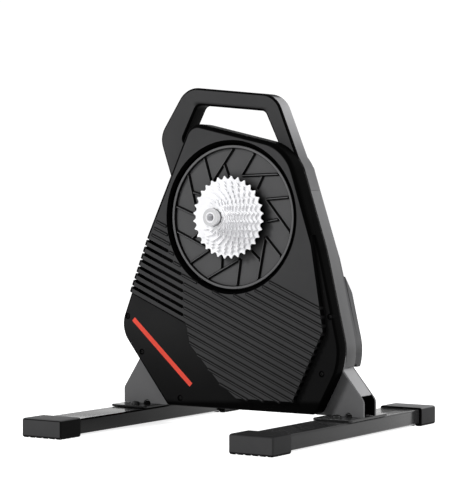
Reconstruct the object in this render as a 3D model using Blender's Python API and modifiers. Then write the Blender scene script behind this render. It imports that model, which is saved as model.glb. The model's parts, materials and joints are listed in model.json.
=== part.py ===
"""Direct-drive indoor bike trainer, built as separate pieces around one wheel axle.

The frame is Z up, X along the bike, Y along the wheel axle. The drive side, with the
sprockets, faces -Y. The origin is on the floor, under the middle of the two floor bars.
"""

import math

import bmesh
import bpy
from mathutils import Matrix, Vector

# Common fits and plain engineering values, in metres.
GAP = 0.0003
RUNNING_GAP = 0.0012
PLATE = 0.004
EASE = 0.001
CHAMFER = 0.0007
ARC_STEP = math.radians(16)
SMALL_ARC_STEP = math.radians(31)
SMALL_ARC_RADIUS = 0.0085
ROUND_STEPS = 2
DOME_STEPS = 3
WELD = 0.000001

# Floor bars and their rubber ends.
BAR_CENTRE_X = 0.194
BAR_WIDTH = 0.067
BAR_HEIGHT = 0.0245
BAR_WALL = 0.002
BAR_END_Y = 0.2585
BAR_CORNER = 0.003
CAP_LENGTH = 0.051
CAP_END_WALL = 0.0027
CAP_GROOVES = 3
CAP_GROOVE_WIDTH = 0.0022
CAP_GROOVE_DEPTH = 0.0014
CAP_SIDE_WALL = 0.0055
CAP_LIP = 0.0028
CAP_FLOOR = 0.0032
CAP_CORNER = 0.004

# Steel frame: two plates, the webs between them, and the feet.
FRAME_FRONT_Y = 0.013
FRAME_DEPTH = 0.042
BODY_DEPTH = 0.034
FOOT_OUTER_REACH = 0.037
FOOT_INNER_REACH = 0.048
LEG_EDGE_RISE = 0.0255
LEG_CORNER_RIGHT = 0.014
LEG_CORNER_LEFT = 0.008
LEG_JOIN_Z_RIGHT = 0.104
LEG_JOIN_Z_LEFT = 0.118
FOOT_NOTCH_OFFSET = 0.010
FOOT_NOTCH_RADIUS = 0.0072
FOOT_NOTCH_DROP = 0.0006
FRAME_BOTTOM_RISE = 0.006
WEB_THICKNESS = 0.003
WEB_TOP_Z = 0.126
WEB_LOW_Z = 0.066
RAIL_CLEARANCE = 0.005
FOOT_OVERHANG = 0.040
FOOT_PLATE = 0.004
FOOT_CORNER = 0.006
FOOT_BOLT_SETBACK = 0.020
BOLT_RADIUS = 0.004
FOOT_BOLT_HEAD_RADIUS = 0.0076
FOOT_BOLT_HEAD = 0.0044
FOOT_BOLT_HEAD_EDGE = 0.0012
FOOT_NUT_RADIUS = 0.0075
FOOT_NUT = 0.0065

# Wheel axle, and the width between the bike's two dropouts.
AXLE_X = 0.003
AXLE_Z = 0.347
AXLE_RADIUS = 0.0085
AXLE_BORE = 0.0061
DROPOUT_WIDTH = 0.135
REAR_CAP_REACH = 0.0092
END_CAP_RADIUS = 0.0125
DRIVE_CAP_LENGTH = 0.0115
AXLE_BOSS_RADIUS = 0.019
AXLE_FLANGE_RADIUS = 0.040
AXLE_FLANGE = 0.005

# Opening of the drive cover. The upper body, the handle and the wheel take their size from it.
OPENING_RADIUS = 0.1205

# Body outline, seen from the drive side. Its low corners: x, z and corner radius. Its corners about
# the axle: angle in degrees, how far beyond the opening's radius, and corner radius.
BODY_LOW_LEFT = (
    (-0.1280, 0.0345, 0.010),
    (-0.2247, 0.1597, 0.045),
)
BODY_ROUND_AXLE = (
    (-168.822, 0.04973, 0.2),
    (116.712, 0.05414, 0.026),
    (46.696, 0.03478, 0.075),
    (-17.899, 0.04869, 0.3),
)
BODY_LOW_RIGHT = (
    (0.2045, 0.1216, 0.095),
    (0.1580, 0.0345, 0.015),
)

# Drive cover, a moulded shell in front of the frame.
COVER_DEPTH = 0.032
COVER_WALL = 0.0028
COVER_ROUND = 0.008
LEDGE_DROP = 0.010
LEDGE_ROUND = 0.005
RAISED_CORNERS = (
    (0.014, 0.0530, 0.002),
    (-0.0205, 0.0785, 0.004),
    (-0.0515, 0.1110, 0.004),
    (-0.0765, 0.1370, 0.006),
    (-0.0845, 0.1730, 0.004),
    (-0.3000, 0.2660, 0.002),
    (-0.3000, 0.6500, 0.002),
    (0.3000, 0.6500, 0.002),
    (0.3000, 0.3200, 0.002),
    (0.1520, 0.3200, 0.002),
    (0.1765, 0.1680, 0.008),
    (0.1200, 0.0530, 0.002),
)
OPENING_LIP = 0.0032
OPENING_BEVEL = 0.0040
OPENING_STEPS = 48
FREE_STEPS = 64
RIB_SLOPE = -0.435
RIB_FIRST_Z = 0.278
RIB_PITCH_Z = 0.0131
RIB_COUNT = 17
RIB_WIDTH = 0.0024
RIB_HEIGHT = 0.0013
RIB_END_REACH = 0.0045
RIB_FREE_REACH = 0.0057
SLOT_FIRST_RIB = 3
SLOT_COUNT = 9
SLOT_WIDTH = 0.0056
SLOT_DEPTH = 0.0125
SLOT_CLEAR_REACH = 0.0135
SLOT_END_X = -0.0890
COVER_SCREWS = ((-0.208, 0.180), (-0.179, 0.121), (-0.102, 0.0475), (0.183, 0.191), (0.168, 0.100))
SCREW_RADIUS = 0.0020
SCREW_HEAD = 0.0034
SCREW_BOSS = 0.0055
SCREW_SINK = 0.0030

# Handle, a closed loop whose foot is bolted behind the front plate. Its corners are about the axle:
# angle in degrees, how far beyond the opening's radius, and corner radius.
HANDLE_EDGE_PLACES = (
    (161.880, 0.01776, 0.003),
    (140.404, 0.08974, 0.036),
    (116.597, 0.12073, 0.04),
    (71.487, 0.08799, 0.04),
    (42.061, 0.02429, 0.01),
    (33.522, 0.02164, 0.015),
    (18.369, 0.01595, 0.003),
)
HANDLE_LOOP_PLACES = (
    (135.844, 0.04746, 0.008),
    (114.864, 0.08285, 0.012),
    (75.298, 0.05681, 0.012),
    (51.968, 0.00773, 0.008),
    (115.181, 0.02757, 0.02),
)
HANDLE_POCKET_PLACES = (
    (156.801, 0.00897, 0.006),
    (138.814, 0.03895, 0.006),
    (118.048, 0.01774, 0.012),
    (50.037, -0.00373, 0.006),
    (24.744, 0.00613, 0.006),
)
HANDLE_ROUND = 0.0042
HANDLE_EASE_RISE = -0.0215
HANDLE_FLOOR = 0.004
HANDLE_BOLT_PLACES = ((135.000, -0.01019, 0), (43.363, -0.02146, 0))
BOLT_HEAD_RADIUS = 0.0065
BOLT_HEAD = 0.005
SOCKET_SHARE = 0.6

# Belt wheel with its raised turbine ribs.
RIM_CLEARANCE = 0.0033
RIM_WIDTH = 0.0056
RIM_LIFT = 0.0055
DISC_FACE_DEPTH = 0.0105
DISC_WEB = 0.003
RIM_FLANGE = 0.0052
DRUM_REACH = 0.0015
BELT_WIDTH = 0.0125
BELT_THICKNESS = 0.0032
HUB_RADIUS = 0.026
HUB_BEARING_RADIUS = 0.0147
HUB_BEARING_WIDTH = 0.007
TURBINE_SECTORS = 7
TURBINE_RIB_WIDTH = 0.0022
TURBINE_RIB_HEIGHT = 0.0028
# Each rib of a sector: how far inside the rim each end lies, and its angle in degrees.
TURBINE_RIBS = (
    (-0.0002, 89.5, 0.0426, 127.5),
    (-0.0002, 68.2, 0.0426, 76.1),
    (0.0236, 101.0, 0.0476, 96.5),
)

# Sprockets on the freehub.
CHAIN_PITCH = 0.0127
ROLLER_RADIUS = 0.0039
TOOTH_RISE = 0.0023
TOOTH_SHOULDER = 0.0021
TOOTH_FOOT_SHARE = 0.25
TOOTH_TIP_SHARE = 0.10
SPROCKET_GROUPS = ((11,), (12,), (13,), (14,), (16,), (18, 20, 22), (25, 28, 32))
SPROCKET_COUNT = sum(len(group) for group in SPROCKET_GROUPS)
SPROCKET_THICKNESS = 0.0018
SPROCKET_STEP = 0.00374
LARGEST_SPROCKET_Y = -0.0255
SPLINE_RADIUS = 0.0168
SPACER_RADIUS = 0.0195
BORE_STEPS = 16
ARM_TEETH = 20
ARM_COUNT = 6
ARM_SHARE = 0.34
ARM_TAPER = 0.62
RING_DEPTH = 0.0085
ARM_HUB_RADIUS = 0.0225
LOCKRING_RADIUS = 0.0190
LOCKRING_WIDTH = 0.0026
FREEHUB_BORE = 0.0130
BEARING_SETBACK = 0.0015

# Flywheel, its brake, and the belt drive that turns it.
FLYWHEEL_X = 0.003
FLYWHEEL_Z = 0.182
FLYWHEEL_RADIUS = 0.088
FLYWHEEL_WIDTH = 0.027
FLYWHEEL_RIM = 0.026
FLYWHEEL_WEB = 0.006
FLYWHEEL_SETBACK = 0.0035
FLYWHEEL_HUB = 0.018
SHAFT_RADIUS = 0.0075
SHAFT_REACH = 0.003
SMALL_PULLEY_RADIUS = 0.0160
SMALL_PULLEY_FLANGE = 0.0022
SHAFT_BEARING_RADIUS = 0.0160
SHAFT_BEARING_WIDTH = 0.009
SEAT_STEPS = 28
BEARING_BOSS = 0.0045
POLE_COUNT = 8
POLE_AIR = 0.0045
POLE_WIDTH = 0.010
POLE_HEAD = 0.005
POLE_TIP = 0.003
CORE_RADIUS = 0.030
CORE_BORE = 0.0222
CORE_DEPTH = 0.010
CORE_SETBACK = 0.012
COIL_THICKNESS = 0.0035
IDLER_X = 0.0575
IDLER_Z = 0.2080
IDLER_RADIUS = 0.0150
IDLER_BORE = 0.0052
IDLER_BOLT_HEAD = 0.0080
IDLER_BOLT_RISE = 0.0035

# Rear cover, with its deeper lower part over the brake.
REAR_COVER_RISE = 0.008
REAR_COVER_WALL = 0.0026
REAR_ROUND = 0.0055
BULGE_DEPTH = 0.025
BULGE_TOP_Z = 0.253
BULGE_SLOPE = 0.035
REAR_COVER_BOTTOM_Z = 0.108
REAR_PLATE_TOP_Z = 0.216
REAR_PLATE_INSET = 0.013
LOWER_POSTS = ((-0.176, 0.150), (0.168, 0.150))
UPPER_POST_PLACES = ((-173.027, 0.01954, 0), (-7.745, 0.00565, 0))
POST_RADIUS = 0.0060
LEG_SLOT_RISE_LEFT = 0.0195
LEG_SLOT_RISE_RIGHT = 0.0045
BOARD_SIZE = (0.090, 0.060)
BOARD_CENTRE = (0.085, 0.165)
BOARD_THICKNESS = 0.0016
STANDOFF = 0.004
STANDOFF_RADIUS = 0.003
INLET_PLACE = (0.145, 0.128)
INLET_RADIUS = 0.0058
INLET_HOLE = 0.0033
INLET_LENGTH = 0.011
INLET_FLANGE = 0.0085
INLET_LIP = 0.0016

def round_axle(places):
    """Corners about the axle, from their angles, reaches beyond the opening and radii."""
    corners = []
    for angle, reach, radius in places:
        turn = math.radians(angle)
        length = OPENING_RADIUS + reach
        corners.append((AXLE_X + length * math.cos(turn), AXLE_Z + length * math.sin(turn), radius))
    return tuple(corners)


# Sizes that follow from those above.
BODY_CORNERS = BODY_LOW_LEFT + round_axle(BODY_ROUND_AXLE) + BODY_LOW_RIGHT
HANDLE_CORNERS = round_axle(HANDLE_EDGE_PLACES)
HANDLE_OPENING = round_axle(HANDLE_LOOP_PLACES)
HANDLE_POCKET = round_axle(HANDLE_POCKET_PLACES)
HANDLE_BOLTS = [(x, z) for x, z, radius in round_axle(HANDLE_BOLT_PLACES)]
UPPER_POSTS = [(x, z) for x, z, radius in round_axle(UPPER_POST_PLACES)]
POLE_REACH = FLYWHEEL_RADIUS - FLYWHEEL_RIM - POLE_AIR
LEG_HALF_SPAN = BAR_CENTRE_X + FOOT_OUTER_REACH
FOOT_INNER_X = BAR_CENTRE_X - FOOT_INNER_REACH
FOOT_NOTCHES_X = (FOOT_NOTCH_OFFSET - BAR_CENTRE_X, FOOT_NOTCH_OFFSET + BAR_CENTRE_X)
HANDLE_EASE_Z = AXLE_Z + OPENING_RADIUS + HANDLE_EASE_RISE
RIB_FREE_RADIUS = OPENING_RADIUS + RIB_FREE_REACH
SLOT_CLEAR_RADIUS = OPENING_RADIUS + SLOT_CLEAR_REACH
RIM_RADIUS = OPENING_RADIUS - RIM_CLEARANCE
INNER_RIM_RADIUS = RIM_RADIUS - RIM_WIDTH
BELT_SEAT_RADIUS = RIM_RADIUS - RIM_FLANGE
BAR_TOP_Z = CAP_FLOOR + GAP + BAR_HEIGHT
FOOT_PLATE_TOP = BAR_TOP_Z + GAP + FOOT_PLATE
LEG_BOTTOM_Z = FOOT_PLATE_TOP + GAP
FRAME_REAR_Y = FRAME_FRONT_Y + FRAME_DEPTH
BODY_REAR_Y = FRAME_FRONT_Y + BODY_DEPTH
COVER_REAR_Y = FRAME_FRONT_Y - GAP
COVER_FACE_Y = COVER_REAR_Y - COVER_DEPTH
LEDGE_Y = COVER_FACE_Y + LEDGE_DROP
DISC_FACE_Y = COVER_FACE_Y + DISC_FACE_DEPTH
DISC_BACK_Y = DISC_FACE_Y + DISC_WEB
RIM_FRONT_Y = DISC_FACE_Y - RIM_LIFT
BELT_FRONT_Y = DISC_BACK_Y + GAP + EASE
BELT_REAR_Y = BELT_FRONT_Y + BELT_WIDTH
HUB_REAR_Y = FRAME_FRONT_Y - RUNNING_GAP
SPROCKET_FRONT_Y = LARGEST_SPROCKET_Y - (SPROCKET_COUNT - 1) * SPROCKET_STEP
LOCKRING_Y = SPROCKET_FRONT_Y - SPROCKET_THICKNESS / 2 - GAP
FREEHUB_REAR_Y = DISC_FACE_Y - RUNNING_GAP
AXLE_REAR_END_Y = BODY_REAR_Y
REAR_CAP_END_Y = BODY_REAR_Y + REAR_CAP_REACH
DRIVE_CAP_END_Y = REAR_CAP_END_Y - DROPOUT_WIDTH
DRIVE_CAP_SEAT_Y = DRIVE_CAP_END_Y + DRIVE_CAP_LENGTH
FRONT_PLATE_REAR_Y = FRAME_FRONT_Y + PLATE
LEG_EDGE_Z = LEG_BOTTOM_Z + LEG_EDGE_RISE
FLYWHEEL_FRONT_Y = FRAME_FRONT_Y + PLATE + FLYWHEEL_SETBACK
FLYWHEEL_REAR_Y = FLYWHEEL_FRONT_Y + FLYWHEEL_WIDTH
REAR_PLATE_Y = FRAME_REAR_Y - PLATE
REAR_RIM_Y = BODY_REAR_Y + GAP
REAR_FLAT_Y = BODY_REAR_Y + REAR_COVER_RISE
BULGE_Y = BODY_REAR_Y + BULGE_DEPTH

AXLE = Vector((AXLE_X, 0, AXLE_Z))
FLYWHEEL = Vector((FLYWHEEL_X, 0, FLYWHEEL_Z))
IDLER = Vector((IDLER_X, 0, IDLER_Z))


# Scene, materials and object helpers

def clear_scene():
    for item in list(bpy.data.objects):
        bpy.data.objects.remove(item, do_unlink=True)


def new_collection(name):
    collection = bpy.data.collections.new(name)
    bpy.context.scene.collection.children.link(collection)
    return collection


def make_material(name, colour, roughness, metallic):
    material = bpy.data.materials.new(name)
    material.use_nodes = True
    shader = material.node_tree.nodes["Principled BSDF"]
    shader.inputs["Base Color"].default_value = (*colour, 1)
    shader.inputs["Roughness"].default_value = roughness
    shader.inputs["Metallic"].default_value = metallic
    return material


FINISHES = {
    "black_plastic": ((0.028, 0.028, 0.030), 0.45, 0.0),
    "grey_paint": ((0.085, 0.085, 0.088), 0.42, 0.3),
    "black_paint": ((0.020, 0.020, 0.022), 0.25, 0.2),
    "black_rubber": ((0.030, 0.030, 0.030), 0.80, 0.0),
    "dark_disc": ((0.050, 0.050, 0.052), 0.40, 0.2),
    "silver_steel": ((0.720, 0.720, 0.730), 0.28, 1.0),
    "grey_steel": ((0.350, 0.350, 0.360), 0.38, 1.0),
    "aluminium": ((0.600, 0.600, 0.620), 0.35, 1.0),
    "copper": ((0.600, 0.240, 0.100), 0.40, 0.9),
    "board_green": ((0.020, 0.130, 0.050), 0.50, 0.0),
    "belt_rubber": ((0.015, 0.015, 0.015), 0.70, 0.0),
}


def link(name, mesh, finish, parent=None, at=(0, 0, 0), cutter=False):
    """One named object for one piece, or a hidden tool solid when cutter is set."""
    item = bpy.data.objects.new(name, mesh)
    item.location = at
    if cutter:
        CUTTERS.objects.link(item)
        item.display_type = "WIRE"
        item.hide_render = True
        return item
    PARTS.objects.link(item)
    if parent is not None:
        item.parent = parent
    mesh.materials.clear()
    mesh.materials.append(make_material(name + "_finish", *FINISHES[finish]))
    return item


def axis_empty(name, place):
    empty = bpy.data.objects.new(name, None)
    empty.location = place
    PARTS.objects.link(empty)
    return empty


def smooth_shade(mesh, degrees=35):
    mesh.shade_smooth()
    mesh.set_sharp_from_angle(angle=math.radians(degrees))


def boolean(item, tool, operation="DIFFERENCE", use_self=False):
    modifier = item.modifiers.new(operation.lower(), "BOOLEAN")
    modifier.object = tool
    modifier.operation = operation
    modifier.solver = "EXACT"
    modifier.use_self = use_self


# Outlines in the X-Z plane

def rounded(corners):
    """Points of a closed outline whose corners carry their own radius."""
    points = []
    count = len(corners)
    for index, (x, z, radius) in enumerate(corners):
        here = Vector((x, z))
        before = (Vector(corners[index - 1][:2]) - here).normalized()
        after = (Vector(corners[(index + 1) % count][:2]) - here).normalized()
        half = before.angle(after) / 2
        if radius < 1e-5 or half > math.radians(89.5):
            points.append(here)
            continue
        tangent = radius / math.tan(half)
        centre = here + (before + after).normalized() * radius / math.sin(half)
        start = here + before * tangent - centre
        turn = start.angle_signed(here + after * tangent - centre)
        step_angle = SMALL_ARC_STEP if radius < SMALL_ARC_RADIUS else ARC_STEP
        steps = max(1, math.ceil(abs(turn) / step_angle))
        for step in range(steps + 1):
            angle = -turn * step / steps
            points.append(centre + Matrix.Rotation(angle, 2) @ start)
    return points


def outline_area(points):
    """Twice the signed area of a closed outline."""
    pairs = zip(list(points[-1:]) + list(points[:-1]), points)
    return sum(before[0] * here[1] - here[0] * before[1] for before, here in pairs)


def inset(corners, distance):
    """The same outline, moved inwards by a wall thickness."""
    count = len(corners)
    side = 1 if outline_area(corners) > 0 else -1
    moved = []
    for index, (x, z, radius) in enumerate(corners):
        here = Vector((x, z))
        into = (here - Vector(corners[index - 1][:2])).normalized()
        out = (Vector(corners[(index + 1) % count][:2]) - here).normalized()
        normal_in = Vector((-into.y, into.x)) * side
        normal_out = Vector((-out.y, out.x)) * side
        blend = normal_in + normal_out
        shift = blend * distance / (1 + normal_in.dot(normal_out))
        convex = side * (into.x * out.y - into.y * out.x) > 0
        new_radius = radius - distance if convex else radius + distance
        moved.append((x + shift.x, z + shift.y, max(new_radius, 0.0008)))
    return moved


def circle(centre, radius, steps=32, phase=0.0):
    return [Vector((centre[0] + radius * math.cos(phase + math.tau * k / steps),
                    centre[1] + radius * math.sin(phase + math.tau * k / steps))) for k in range(steps)]


def around(centre, radius, steps):
    """A polygon that clears a circle of this radius on all its sides."""
    return circle(centre, radius / math.cos(math.pi / steps), steps)


def plate_mesh(name, outlines, front_y, rear_y):
    """A flat curve with holes, thickened between two depths and closed into one mesh."""
    curve = bpy.data.curves.new(name, "CURVE")
    curve.dimensions = "2D"
    curve.fill_mode = "BOTH"
    curve.extrude = (rear_y - front_y) / 2
    for outline in outlines:
        spline = curve.splines.new("POLY")
        spline.points.add(len(outline) - 1)
        for point, place in zip(spline.points, outline):
            point.co = (place[0], place[1], 0, 1)
        spline.use_cyclic_u = True
    flat = bpy.data.objects.new(name, curve)
    CUTTERS.objects.link(flat)
    mesh = bpy.data.meshes.new_from_object(flat.evaluated_get(bpy.context.evaluated_depsgraph_get()))
    bpy.data.objects.remove(flat)
    bpy.data.curves.remove(curve)
    shape = bmesh.new()
    shape.from_mesh(mesh)
    bmesh.ops.remove_doubles(shape, verts=shape.verts, dist=WELD)
    bmesh.ops.transform(shape, matrix=Matrix.Rotation(math.radians(90), 4, "X"), verts=shape.verts)
    bmesh.ops.translate(shape, vec=(0, (front_y + rear_y) / 2, 0), verts=shape.verts)
    bmesh.ops.recalc_face_normals(shape, faces=shape.faces)
    shape.to_mesh(mesh)
    shape.free()
    return mesh


def round_edges(mesh, radius, at_y, keep=None):
    """Round the edges that lie at one depth, all of them or those that keep accepts."""
    shape = bmesh.new()
    shape.from_mesh(mesh)
    bmesh.ops.dissolve_limit(shape, angle_limit=math.radians(1), verts=shape.verts, edges=shape.edges)
    chosen = [
        edge for edge in shape.edges
        if all(abs(vert.co.y - at_y) < 1e-5 for vert in edge.verts)
        and (keep is None or keep(edge))
    ]
    bmesh.ops.bevel(shape, geom=chosen, offset=radius, segments=ROUND_STEPS, profile=0.5,
                    affect="EDGES", material=-1, clamp_overlap=True)
    bmesh.ops.remove_doubles(shape, verts=shape.verts, dist=WELD)
    shape.to_mesh(mesh)
    shape.free()
    smooth_shade(mesh)
    return mesh


def turned(name, profile, finish, parent=None, at=(0, 0, 0), steps=40):
    """A turned piece about the Y axis. Its profile is a closed list of radius and depth."""
    shape = bmesh.new()
    area = outline_area(profile)
    ordered = profile if area < 0 else profile[::-1]
    verts = [shape.verts.new((radius, 0, depth)) for radius, depth in ordered]
    on_axis = [k for k, (radius, depth) in enumerate(ordered) if radius < 1e-6]
    for k in range(len(verts)):
        follow = (k + 1) % len(verts)
        if k in on_axis and follow in on_axis:
            continue
        shape.edges.new((verts[k], verts[follow]))
    mesh = bpy.data.meshes.new(name)
    shape.to_mesh(mesh)
    shape.free()
    item = link(name, mesh, finish, parent, at)
    item.rotation_euler = (math.radians(-90), 0, 0)
    screw = item.modifiers.new("turn", "SCREW")
    screw.axis = "Z"
    screw.steps = steps
    screw.render_steps = steps
    screw.use_merge_vertices = True
    screw.merge_threshold = 0.00001
    screw.use_smooth_shade = True
    return item


def tube_profile(inner, outer, front_y, rear_y, chamfer=0.0):
    """Closed profile of a ring, with its outer corners chamfered if asked."""
    if chamfer == 0:
        return [(outer, rear_y), (outer, front_y), (inner, front_y), (inner, rear_y)]
    return [
        (outer - chamfer, rear_y), (outer, rear_y - chamfer), (outer, front_y + chamfer),
        (outer - chamfer, front_y), (inner, front_y), (inner, rear_y),
    ]


def joined(name, meshes):
    """Several separate solids in one mesh."""
    shape = bmesh.new()
    for mesh in meshes:
        shape.from_mesh(mesh)
    mesh = bpy.data.meshes.new(name)
    shape.to_mesh(mesh)
    shape.free()
    return mesh


def cylinder_mesh(name, centre, radius, front_y, rear_y, steps=16):
    """A solid cylinder along Y, at a place in the X-Z plane."""
    shape = bmesh.new()
    place = Matrix.Translation((centre[0], (front_y + rear_y) / 2, centre[1]))
    turn = Matrix.Rotation(math.radians(90), 4, "X")
    bmesh.ops.create_cone(shape, cap_ends=True, segments=steps, radius1=radius, radius2=radius,
                          depth=rear_y - front_y, matrix=place @ turn)
    mesh = bpy.data.meshes.new(name)
    shape.to_mesh(mesh)
    shape.free()
    smooth_shade(mesh)
    return mesh


def block_mesh(name, low, high):
    """A box between two corners."""
    shape = bmesh.new()
    size = Vector(high) - Vector(low)
    middle = (Vector(high) + Vector(low)) / 2
    place = Matrix.Translation(middle) @ Matrix.Diagonal((*size, 1))
    bmesh.ops.create_cube(shape, size=1, matrix=place)
    mesh = bpy.data.meshes.new(name)
    shape.to_mesh(mesh)
    shape.free()
    return mesh


# Shared shape rules

def side_run(corners, side, low, high):
    """The points of one side of an outline between two heights, from low to high."""
    points = rounded(corners)
    run = []
    for index, here in enumerate(points):
        before = points[index - 1]
        if here.x * side < 0 or before.x * side < 0:
            continue
        for height in (low, high):
            if (before.y - height) * (here.y - height) < 0:
                share = (height - before.y) / (here.y - before.y)
                run.append(before.lerp(here, share))
        if low < here.y < high:
            run.append(here)
    return sorted(run, key=lambda point: point.y)


def leg_edge_x(side, height):
    """Where a leg's slanting outer edge lies at one height, on a line from the foot to the body."""
    join_z = LEG_JOIN_Z_RIGHT if side > 0 else LEG_JOIN_Z_LEFT
    join_x = side_run(BODY_CORNERS, side, join_z, join_z + PLATE)[0].x * side
    share = (height - LEG_EDGE_Z) / (join_z - LEG_EDGE_Z)
    return side * (LEG_HALF_SPAN + (join_x - LEG_HALF_SPAN) * share)


def leg_outline(side):
    """Outer corner and foot of one leg, going down its outer edge and back under it."""
    corner = LEG_CORNER_RIGHT if side > 0 else LEG_CORNER_LEFT
    return [
        (leg_edge_x(side, LEG_EDGE_Z), LEG_EDGE_Z, corner),
        (side * LEG_HALF_SPAN, LEG_BOTTOM_Z, 0),
        (side * FOOT_INNER_X, LEG_BOTTOM_Z, 0),
        (side * (FOOT_INNER_X - FRAME_BOTTOM_RISE), LEG_BOTTOM_Z + FRAME_BOTTOM_RISE, 0),
    ]


def frame_outline(body_points):
    """A plate outline: the given body points, then both legs and the edge between them."""
    join_left = (leg_edge_x(-1, LEG_JOIN_Z_LEFT), LEG_JOIN_Z_LEFT, 0)
    join_right = (leg_edge_x(1, LEG_JOIN_Z_RIGHT), LEG_JOIN_Z_RIGHT, 0)
    legs = [join_right] + leg_outline(1) + leg_outline(-1)[::-1] + [join_left]
    return rounded(legs + [(point.x, point.y, 0) for point in body_points])


def cylinders(name, places, radius, front_y, rear_y, steps=12):
    return joined(name, [cylinder_mesh(name, place, radius, front_y, rear_y, steps) for place in places])


def cutter(name, mesh):
    return link(name + "_tool", mesh, None, cutter=True)


def bolts(names, places, shank_radius, head_radius, head_y, seat_y, tip_y, socket=0.0, steps=12):
    """Bolts along Y that share one mesh: a head from head_y to seat_y, a shank on to tip_y."""
    profile = [
        (0, tip_y), (shank_radius, tip_y), (shank_radius, seat_y), (head_radius, seat_y),
        (head_radius, head_y),
    ]
    if socket:
        floor = head_y + (seat_y - head_y) * SOCKET_SHARE
        profile += [(socket, head_y), (socket * 0.9, floor)]
        profile.append((0, floor))
    else:
        profile.append((0, head_y))
    mesh = spun_mesh(names[0], profile, (0, 0), steps)
    for name, place in zip(names, places):
        link(name, mesh, "grey_steel", at=(place[0], 0, place[1]))


def spun_mesh(name, profile, place, steps):
    """A turned solid or ring as a plain mesh, about a Y line through a place in the X-Z plane."""
    shape = bmesh.new()
    verts = [shape.verts.new((radius, depth, 0)) for radius, depth in profile]
    edges = [shape.edges.new(pair) for pair in zip(verts, verts[1:])]
    if profile[0][0] > 0:
        edges.append(shape.edges.new((verts[-1], verts[0])))
    bmesh.ops.spin(shape, geom=verts + edges, cent=(0, 0, 0), axis=(0, 1, 0), angle=math.tau,
                   steps=steps, use_merge=True)
    bmesh.ops.remove_doubles(shape, verts=shape.verts, dist=WELD)
    bmesh.ops.recalc_face_normals(shape, faces=shape.faces)
    bmesh.ops.translate(shape, vec=(place[0], 0, place[1]), verts=shape.verts)
    mesh = bpy.data.meshes.new(name)
    shape.to_mesh(mesh)
    shape.free()
    smooth_shade(mesh)
    return mesh


# Floor bars, caps and feet

def rectangle(centre_x, width, low, high, radius):
    half = width / 2
    return rounded([(centre_x - half, low, radius), (centre_x - half, high, radius),
                    (centre_x + half, high, radius), (centre_x + half, low, radius)])


def foot_bolt_depths():
    return (FRAME_FRONT_Y - FOOT_BOLT_SETBACK, FRAME_REAR_Y + FOOT_BOLT_SETBACK)


def upright_cylinder(name, x, y, radius, low, high, steps=14):
    shape = bmesh.new()
    bmesh.ops.create_cone(shape, cap_ends=True, segments=steps, radius1=radius, radius2=radius,
                          depth=high - low, matrix=Matrix.Translation((x, y, (low + high) / 2)))
    mesh = bpy.data.meshes.new(name)
    shape.to_mesh(mesh)
    shape.free()
    smooth_shade(mesh)
    return mesh


def make_floor_bar(side, word):
    low = BAR_TOP_Z - BAR_HEIGHT
    centre = side * BAR_CENTRE_X
    outer = rectangle(centre, BAR_WIDTH, low, BAR_TOP_Z, BAR_CORNER)
    inner = rectangle(centre, BAR_WIDTH - 2 * BAR_WALL, low + BAR_WALL, BAR_TOP_Z - BAR_WALL,
                      BAR_CORNER - BAR_WALL)
    name = "floor_bar_" + word
    bar = link(name, plate_mesh(name, [outer, inner], -BAR_END_Y, BAR_END_Y), "black_paint")
    nut_low = BAR_TOP_Z - BAR_WALL - FOOT_NUT
    nuts = [upright_cylinder(name, centre, y, FOOT_NUT_RADIUS, nut_low, BAR_TOP_Z - BAR_WALL / 2, 6)
            for y in foot_bolt_depths()]
    boolean(bar, cutter(name + "_nuts", joined(name, nuts)), "UNION")
    holes = [upright_cylinder(name, centre, y, BOLT_RADIUS + GAP, nut_low - BAR_WALL, BAR_TOP_Z + PLATE)
             for y in foot_bolt_depths()]
    boolean(bar, cutter(name + "_holes", joined(name, holes)))


def make_end_cap(side, word, end, end_word):
    name = "end_cap_%s_%s" % (end_word, word)
    centre = side * BAR_CENTRE_X
    outer_y = BAR_END_Y + GAP + CAP_END_WALL
    depths = sorted((end * outer_y, end * (outer_y - CAP_LENGTH)))
    top = BAR_TOP_Z + CAP_LIP
    body = rectangle(centre, BAR_WIDTH + 2 * CAP_SIDE_WALL, 0, top, CAP_CORNER)
    mesh = plate_mesh(name, [body], *depths)
    round_edges(mesh, CAP_CORNER / 2, end * outer_y)
    cap = link(name, mesh, "black_rubber")
    socket = rectangle(centre, BAR_WIDTH + 2 * GAP, CAP_FLOOR, BAR_TOP_Z + GAP, BAR_CORNER)
    seat = sorted((end * (BAR_END_Y + GAP), end * (outer_y - 2 * CAP_LENGTH)))
    boolean(cap, cutter(name + "_socket", plate_mesh(name, [socket], *seat)))
    half = BAR_WIDTH / 2 + 2 * CAP_SIDE_WALL
    grooves = []
    for k in range(CAP_GROOVES):
        y = end * (outer_y - CAP_LENGTH * (k + 0.5) / CAP_GROOVES)
        grooves.append(block_mesh(name, (centre - half, y - CAP_GROOVE_WIDTH / 2, -CAP_GROOVE_DEPTH),
                                  (centre + half, y + CAP_GROOVE_WIDTH / 2, CAP_GROOVE_DEPTH)))
    boolean(cap, cutter(name + "_grooves", joined(name, grooves)))


def make_foot_plate(side, word):
    name = "foot_plate_" + word
    half = (FRAME_DEPTH + 2 * FOOT_OVERHANG) / 2
    middle = (FRAME_FRONT_Y + FRAME_REAR_Y) / 2
    inner = side * (BAR_CENTRE_X - BAR_WIDTH / 2)
    outer = side * LEG_HALF_SPAN
    left, right = sorted((inner, outer))
    outline = rounded([(left, middle - half, FOOT_CORNER), (left, middle + half, FOOT_CORNER),
                       (right, middle + half, FOOT_CORNER), (right, middle - half, FOOT_CORNER)])
    low = BAR_TOP_Z + GAP
    holes = [circle((side * BAR_CENTRE_X, y), BOLT_RADIUS + GAP, 14) for y in foot_bolt_depths()]
    mesh = plate_mesh(name, [outline] + holes, -FOOT_PLATE_TOP, -low)
    mesh.transform(Matrix.Rotation(math.radians(-90), 4, "X"))
    link(name, mesh, "black_paint")


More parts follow.
